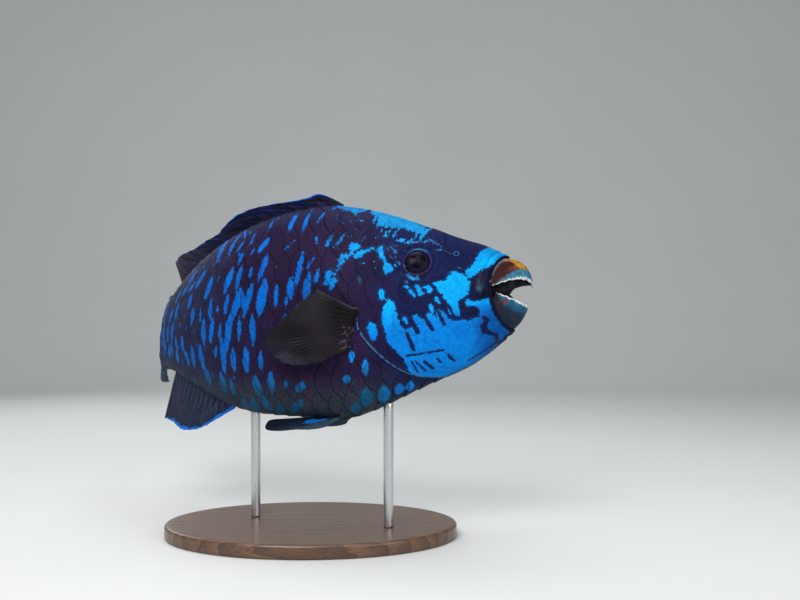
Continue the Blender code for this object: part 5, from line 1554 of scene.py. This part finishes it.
# ---------------------------------------------------------------- the stand
def turned(name, profile, scale_y, segments, at, mat):
    """A solid from a profile of (radius, height) turned round, its plan scaled."""
    b = np.linspace(0, 2 * math.pi, segments, endpoint=False)
    profile = np.array(profile)
    rows = len(profile)
    inset = profile[:, 0].max() - profile[:, 0]
    pts = np.stack([
        (profile[:, :1] * 0 + profile[:, 0].max() - inset[:, None]) * np.cos(b)[None],
        (scale_y * profile[:, 0].max() - inset[:, None]).clip(1e-5) * np.sin(b)[None],
        profile[:, 1:] + 0 * b[None],
    ], -1) + np.array(at)
    i, j = (m.ravel() for m in np.meshgrid(np.arange(rows - 1), np.arange(segments), indexing="ij"))
    k = (j + 1) % segments
    quads = np.stack([i * segments + j, i * segments + k, (i + 1) * segments + k, (i + 1) * segments + j], 1)
    u, w = j / segments, i / (rows - 1)
    du, dw = 1 / segments, 1 / (rows - 1)
    uvq = np.stack([np.stack([u, w], -1), np.stack([u + du, w], -1), np.stack([u + du, w + dw], -1), np.stack([u, w + dw], -1)], 1) * [1.0, 0.38] + [0.0, 0.01]
    n = rows * segments
    low, top = pts[0].mean(0), pts[-1].mean(0)
    verts = np.concatenate([pts.reshape(-1, 3), [low], [top]])
    j = np.arange(segments)
    k = (j + 1) % segments
    t_a = np.stack([np.full(segments, n), k, j], 1)
    t_b = np.stack([np.full(segments, n + 1), (rows - 1) * segments + j, (rows - 1) * segments + k], 1)
    disc = lambda c: np.stack([np.full((segments, 2), c), np.stack([c[0] + 0.21 * np.cos(b), c[1] + 0.21 * np.sin(b)], -1), np.stack([c[0] + 0.21 * np.cos(np.roll(b, -1)), c[1] + 0.21 * np.sin(np.roll(b, -1))], -1)], 1)
    uvt = np.concatenate([disc(np.array([0.25, 0.70]))[:, [0, 2, 1]], disc(np.array([0.75, 0.70]))])
    return build(name, verts, quads, uvq, {}, mat, np.concatenate([t_a, t_b]), uvt, flip=volume(verts, quads) < 0)


def make_stand():
    r, h, e = BASE_L / 2, BASE_H, 0.003
    arc_ = [(r - e + e * math.cos(a), e + e * math.sin(a)) for a in np.linspace(-math.pi / 2, 0, 7)]
    top = [(r - e + e * math.cos(a), h - e + e * math.sin(a)) for a in np.linspace(0, math.pi / 2, 9)]
    inner = [(r * k, h) for k in (0.94, 0.75, 0.5, 0.25)]
    base = turned("stand_plinth", [(r * 0.5, 0.0), (r * 0.9, 0.0)] + arc_ + top + inner, BASE_W / BASE_L, 192, (0, 0, 0), WOOD)
    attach(base, "root")
    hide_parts("stand_base")
    for t, word in zip(ROD_T, ("front", "rear")):
        foot = place(t, 0, -float(belly(t)) * SL)
        hi = foot[2] + 0.008
        shape = [(ROD_R - 0.0004, BASE_H + 0.0002), (ROD_R, BASE_H + 0.0006)] + [(ROD_R, z) for z in np.linspace(BASE_H + 0.002, hi - 0.0006, 12)] + [(ROD_R - 0.0004, hi)]
        rod = turned("stand_pin_" + word, shape, 1.0, 64, (foot[0], foot[1], 0), STEEL)
        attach(rod, "root")
        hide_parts("stand_rod_" + word)


# ---------------------------------------------------------------- put together
def make_mouth_flesh():
    """The dark palate and the tongue, seen through the open beak."""
    shells = []
    tables = (
        (  # t, underside, top, half width in mm: the palate between the sides of the upper plate
            (-0.0335, 6.9, 8.2, 1.0), (-0.028, 6.6, 9.8, 3.4), (-0.020, 6.3, 12.4, 6.0), (-0.013, 6.0, 15.0, 8.4),
            (-0.004, 4.8, 17.4, 10.6), (0.002, 4.0, 18.6, 11.8), (0.008, 1.6, 19.0, 12.6), (0.014, -2.2, 19.3, 13.6),
            (0.025, -4.5, 19.6, 14.6), (0.050, -5.0, 19.0, 14.0), (0.078, -4.0, 17.0, 10.0),
        ),
        (  # the tongue and the floor
            (0.001, -9.0, -7.5, 1.2), (0.004, -10.5, -5.8, 3.4), (0.009, -12.5, -3.2, 6.2), (0.014, -14.0, -0.8, 8.4),
            (0.022, -15.5, 1.6, 10.6), (0.035, -16.5, 3.0, 12.4), (0.055, -16.0, 3.0, 12.6), (0.078, -14.0, 2.0, 9.0),
        ),
    )
    for palate, table in zip((True, False), tables):
        u = np.linspace(0, 1, 48)[:, None] ** 1.15
        phi = np.linspace(0, 2 * math.pi, 56, endpoint=False)[None, :]
        t = table[0][0] + (table[-1][0] - table[0][0]) * u
        table_at = np.array(table)
        under, top, half = (np.interp(t, table_at[:, 0], table_at[:, k]) / 1000 for k in (1, 2, 3))
        c, s = np.cos(phi), np.sin(phi)
        y = half * np.sign(c) * np.abs(c) ** 0.75
        z = (under + top) / 2 + (top - under) / 2 * np.sign(s) * np.abs(s) ** 0.75
        if palate:
            z = z + 0.0016 * np.exp(-((y / half / 0.55) ** 2)) * (s < 0) * smooth(-s, 0.2, 0.8)
        else:
            z = z - 0.0009 * np.exp(-((y / half / 0.16) ** 2)) * (s > 0) * smooth(s, 0.4, 0.9)
        shells.append(place(t, y, z))
    verts, quads, tris, at = [], [], [], 0
    for shell in shells:
        rows, n = shell.shape[:2]
        i, j = (m.ravel() for m in np.meshgrid(np.arange(rows - 1), np.arange(n), indexing="ij"))
        k = (j + 1) % n
        q = np.stack([i * n + j, i * n + k, (i + 1) * n + k, (i + 1) * n + j], 1)
        j = np.arange(n)
        k = (j + 1) % n
        a = np.stack([np.full(n, rows * n), k, j], 1)
        b = np.stack([np.full(n, rows * n + 1), (rows - 1) * n + j, (rows - 1) * n + k], 1)
        verts.append(np.concatenate([shell.reshape(-1, 3), [shell[0].mean(0)], [shell[-1].mean(0)]]))
        quads.append(q + at)
        tris.append(np.concatenate([a, b]) + at)
        at += rows * n + 2
    verts, quads, tris = np.concatenate(verts), np.concatenate(quads), np.concatenate(tris)
    # each shell has its own half of the unwrap: along and around
    rows, n = shells[0].shape[:2]
    uu, vv = np.meshgrid(np.linspace(0.01, 0.47, rows), np.arange(n) / n * 0.95 + 0.01, indexing="ij")
    uv = np.concatenate([np.stack([uu, vv], -1).reshape(-1, 2), [[0.0, 0.0]], [[0.48, 0.0]]])
    uv = np.concatenate([uv, uv + [0.5, 0.0]])
    tone = 0.55 + 0.45 * ripple(verts[:, 0], verts[:, 1], verts[:, 2], 31, 500).clip(-1, 1)[:, None]
    ground = MOUTH_FLESH * tone
    attrs = {"mark": np.full(len(verts), -9.0), "hue": ground, "ground": ground}
    obj = build("mouth_flesh", verts, quads, uv[quads], attrs, SKIN, tris, uv[tris], flip=volume(verts, quads, tris) < 0)
    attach(obj, "root")


def make_fish():
    skin = make_skin()
    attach(skin, "root")
    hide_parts("head", "trunk", "tail_stem", "gill_cover_left", "gill_cover_right")
    for piece in make_coat():
        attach(piece, "root")
    for side, word in ((1, "right"), (-1, "left")):
        eye = make_eye(side, word)
        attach(eye, "root")
        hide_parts("eye_" + word)
    for upper, word in ((True, "upper"), (False, "lower")):
        plate = make_beak(upper, word)
        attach(plate, "root")
        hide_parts("beak_" + word)
    make_mouth_flesh()


def make_stage():
    x = np.linspace(-4, 4, 41)
    run = [(-2.6, 0.0)] + [(y, 0.0) for y in np.linspace(-2.0, 1.6, 19)]
    run += [(1.6 + 0.8 * math.sin(a), 0.8 - 0.8 * math.cos(a)) for a in np.linspace(0.08, math.pi / 2, 24)]
    run += [(2.4, z) for z in np.linspace(0.9, 3.6, 12)]
    run = np.array(run)
    pts = np.stack(np.broadcast_arrays(x[None, :], run[:, :1], run[:, 1:]), -1)
    quads = sheet_quads(len(run), len(x))
    floor = build("stage_floor", pts.reshape(-1, 3), quads, np.zeros((len(quads), 4, 2)), {}, PAPER)
    floor.data.flip_normals()


def lamp(name, at, aim, power, size, colour):
    data = bpy.data.lights.new(name, "AREA")
    data.energy, data.size, data.color = power, size, colour
    obj = bpy.data.objects.new(name, data)
    bpy.context.scene.collection.objects.link(obj)
    from mathutils import Vector

    obj.location = at
    obj.rotation_euler = (Vector(aim) - Vector(at)).to_track_quat("-Z", "Y").to_euler()


def make_light():
    lamp("key", (-0.45, -1.25, 1.35), (0.0, 0.0, 0.25), 24, 0.9, (1.0, 0.98, 0.95))
    lamp("fill", (1.1, -1.3, 0.75), (0.05, 0.0, 0.22), 11, 1.2, (0.94, 0.97, 1.0))
    lamp("top", (0.0, 0.15, 1.5), (0.0, 0.0, 0.2), 12, 1.0, (0.95, 0.98, 1.0))
    lamp("back", (-0.8, 1.1, 0.9), (0.0, 0.0, 0.3), 4.5, 0.9, (1.0, 1.0, 1.0))
    world = bpy.data.worlds.new("room")
    world.use_nodes = True
    world.node_tree.nodes["Background"].inputs["Color"].default_value = (0.78, 0.82, 0.86, 1)
    world.node_tree.nodes["Background"].inputs["Strength"].default_value = 0.42
    bpy.context.scene.world = world


def make_camera():
    data = bpy.data.cameras.new("camera")
    data.sensor_width, data.lens = 36.0, CAMERA_LENS
    data.clip_start, data.clip_end = 0.01, 50
    obj = bpy.data.objects.new("camera", data)
    obj.location = CAMERA_AT
    obj.rotation_euler = (math.pi / 2, 0, 0)
    bpy.context.scene.collection.objects.link(obj)
    bpy.context.scene.camera = obj


make_fish()
make_fins()
make_stand()
make_stage()
make_light()
make_camera()
bpy.context.scene.view_settings.view_transform = "Standard"
bpy.context.scene.view_settings.look = "None"
bpy.context.view_layer.update()
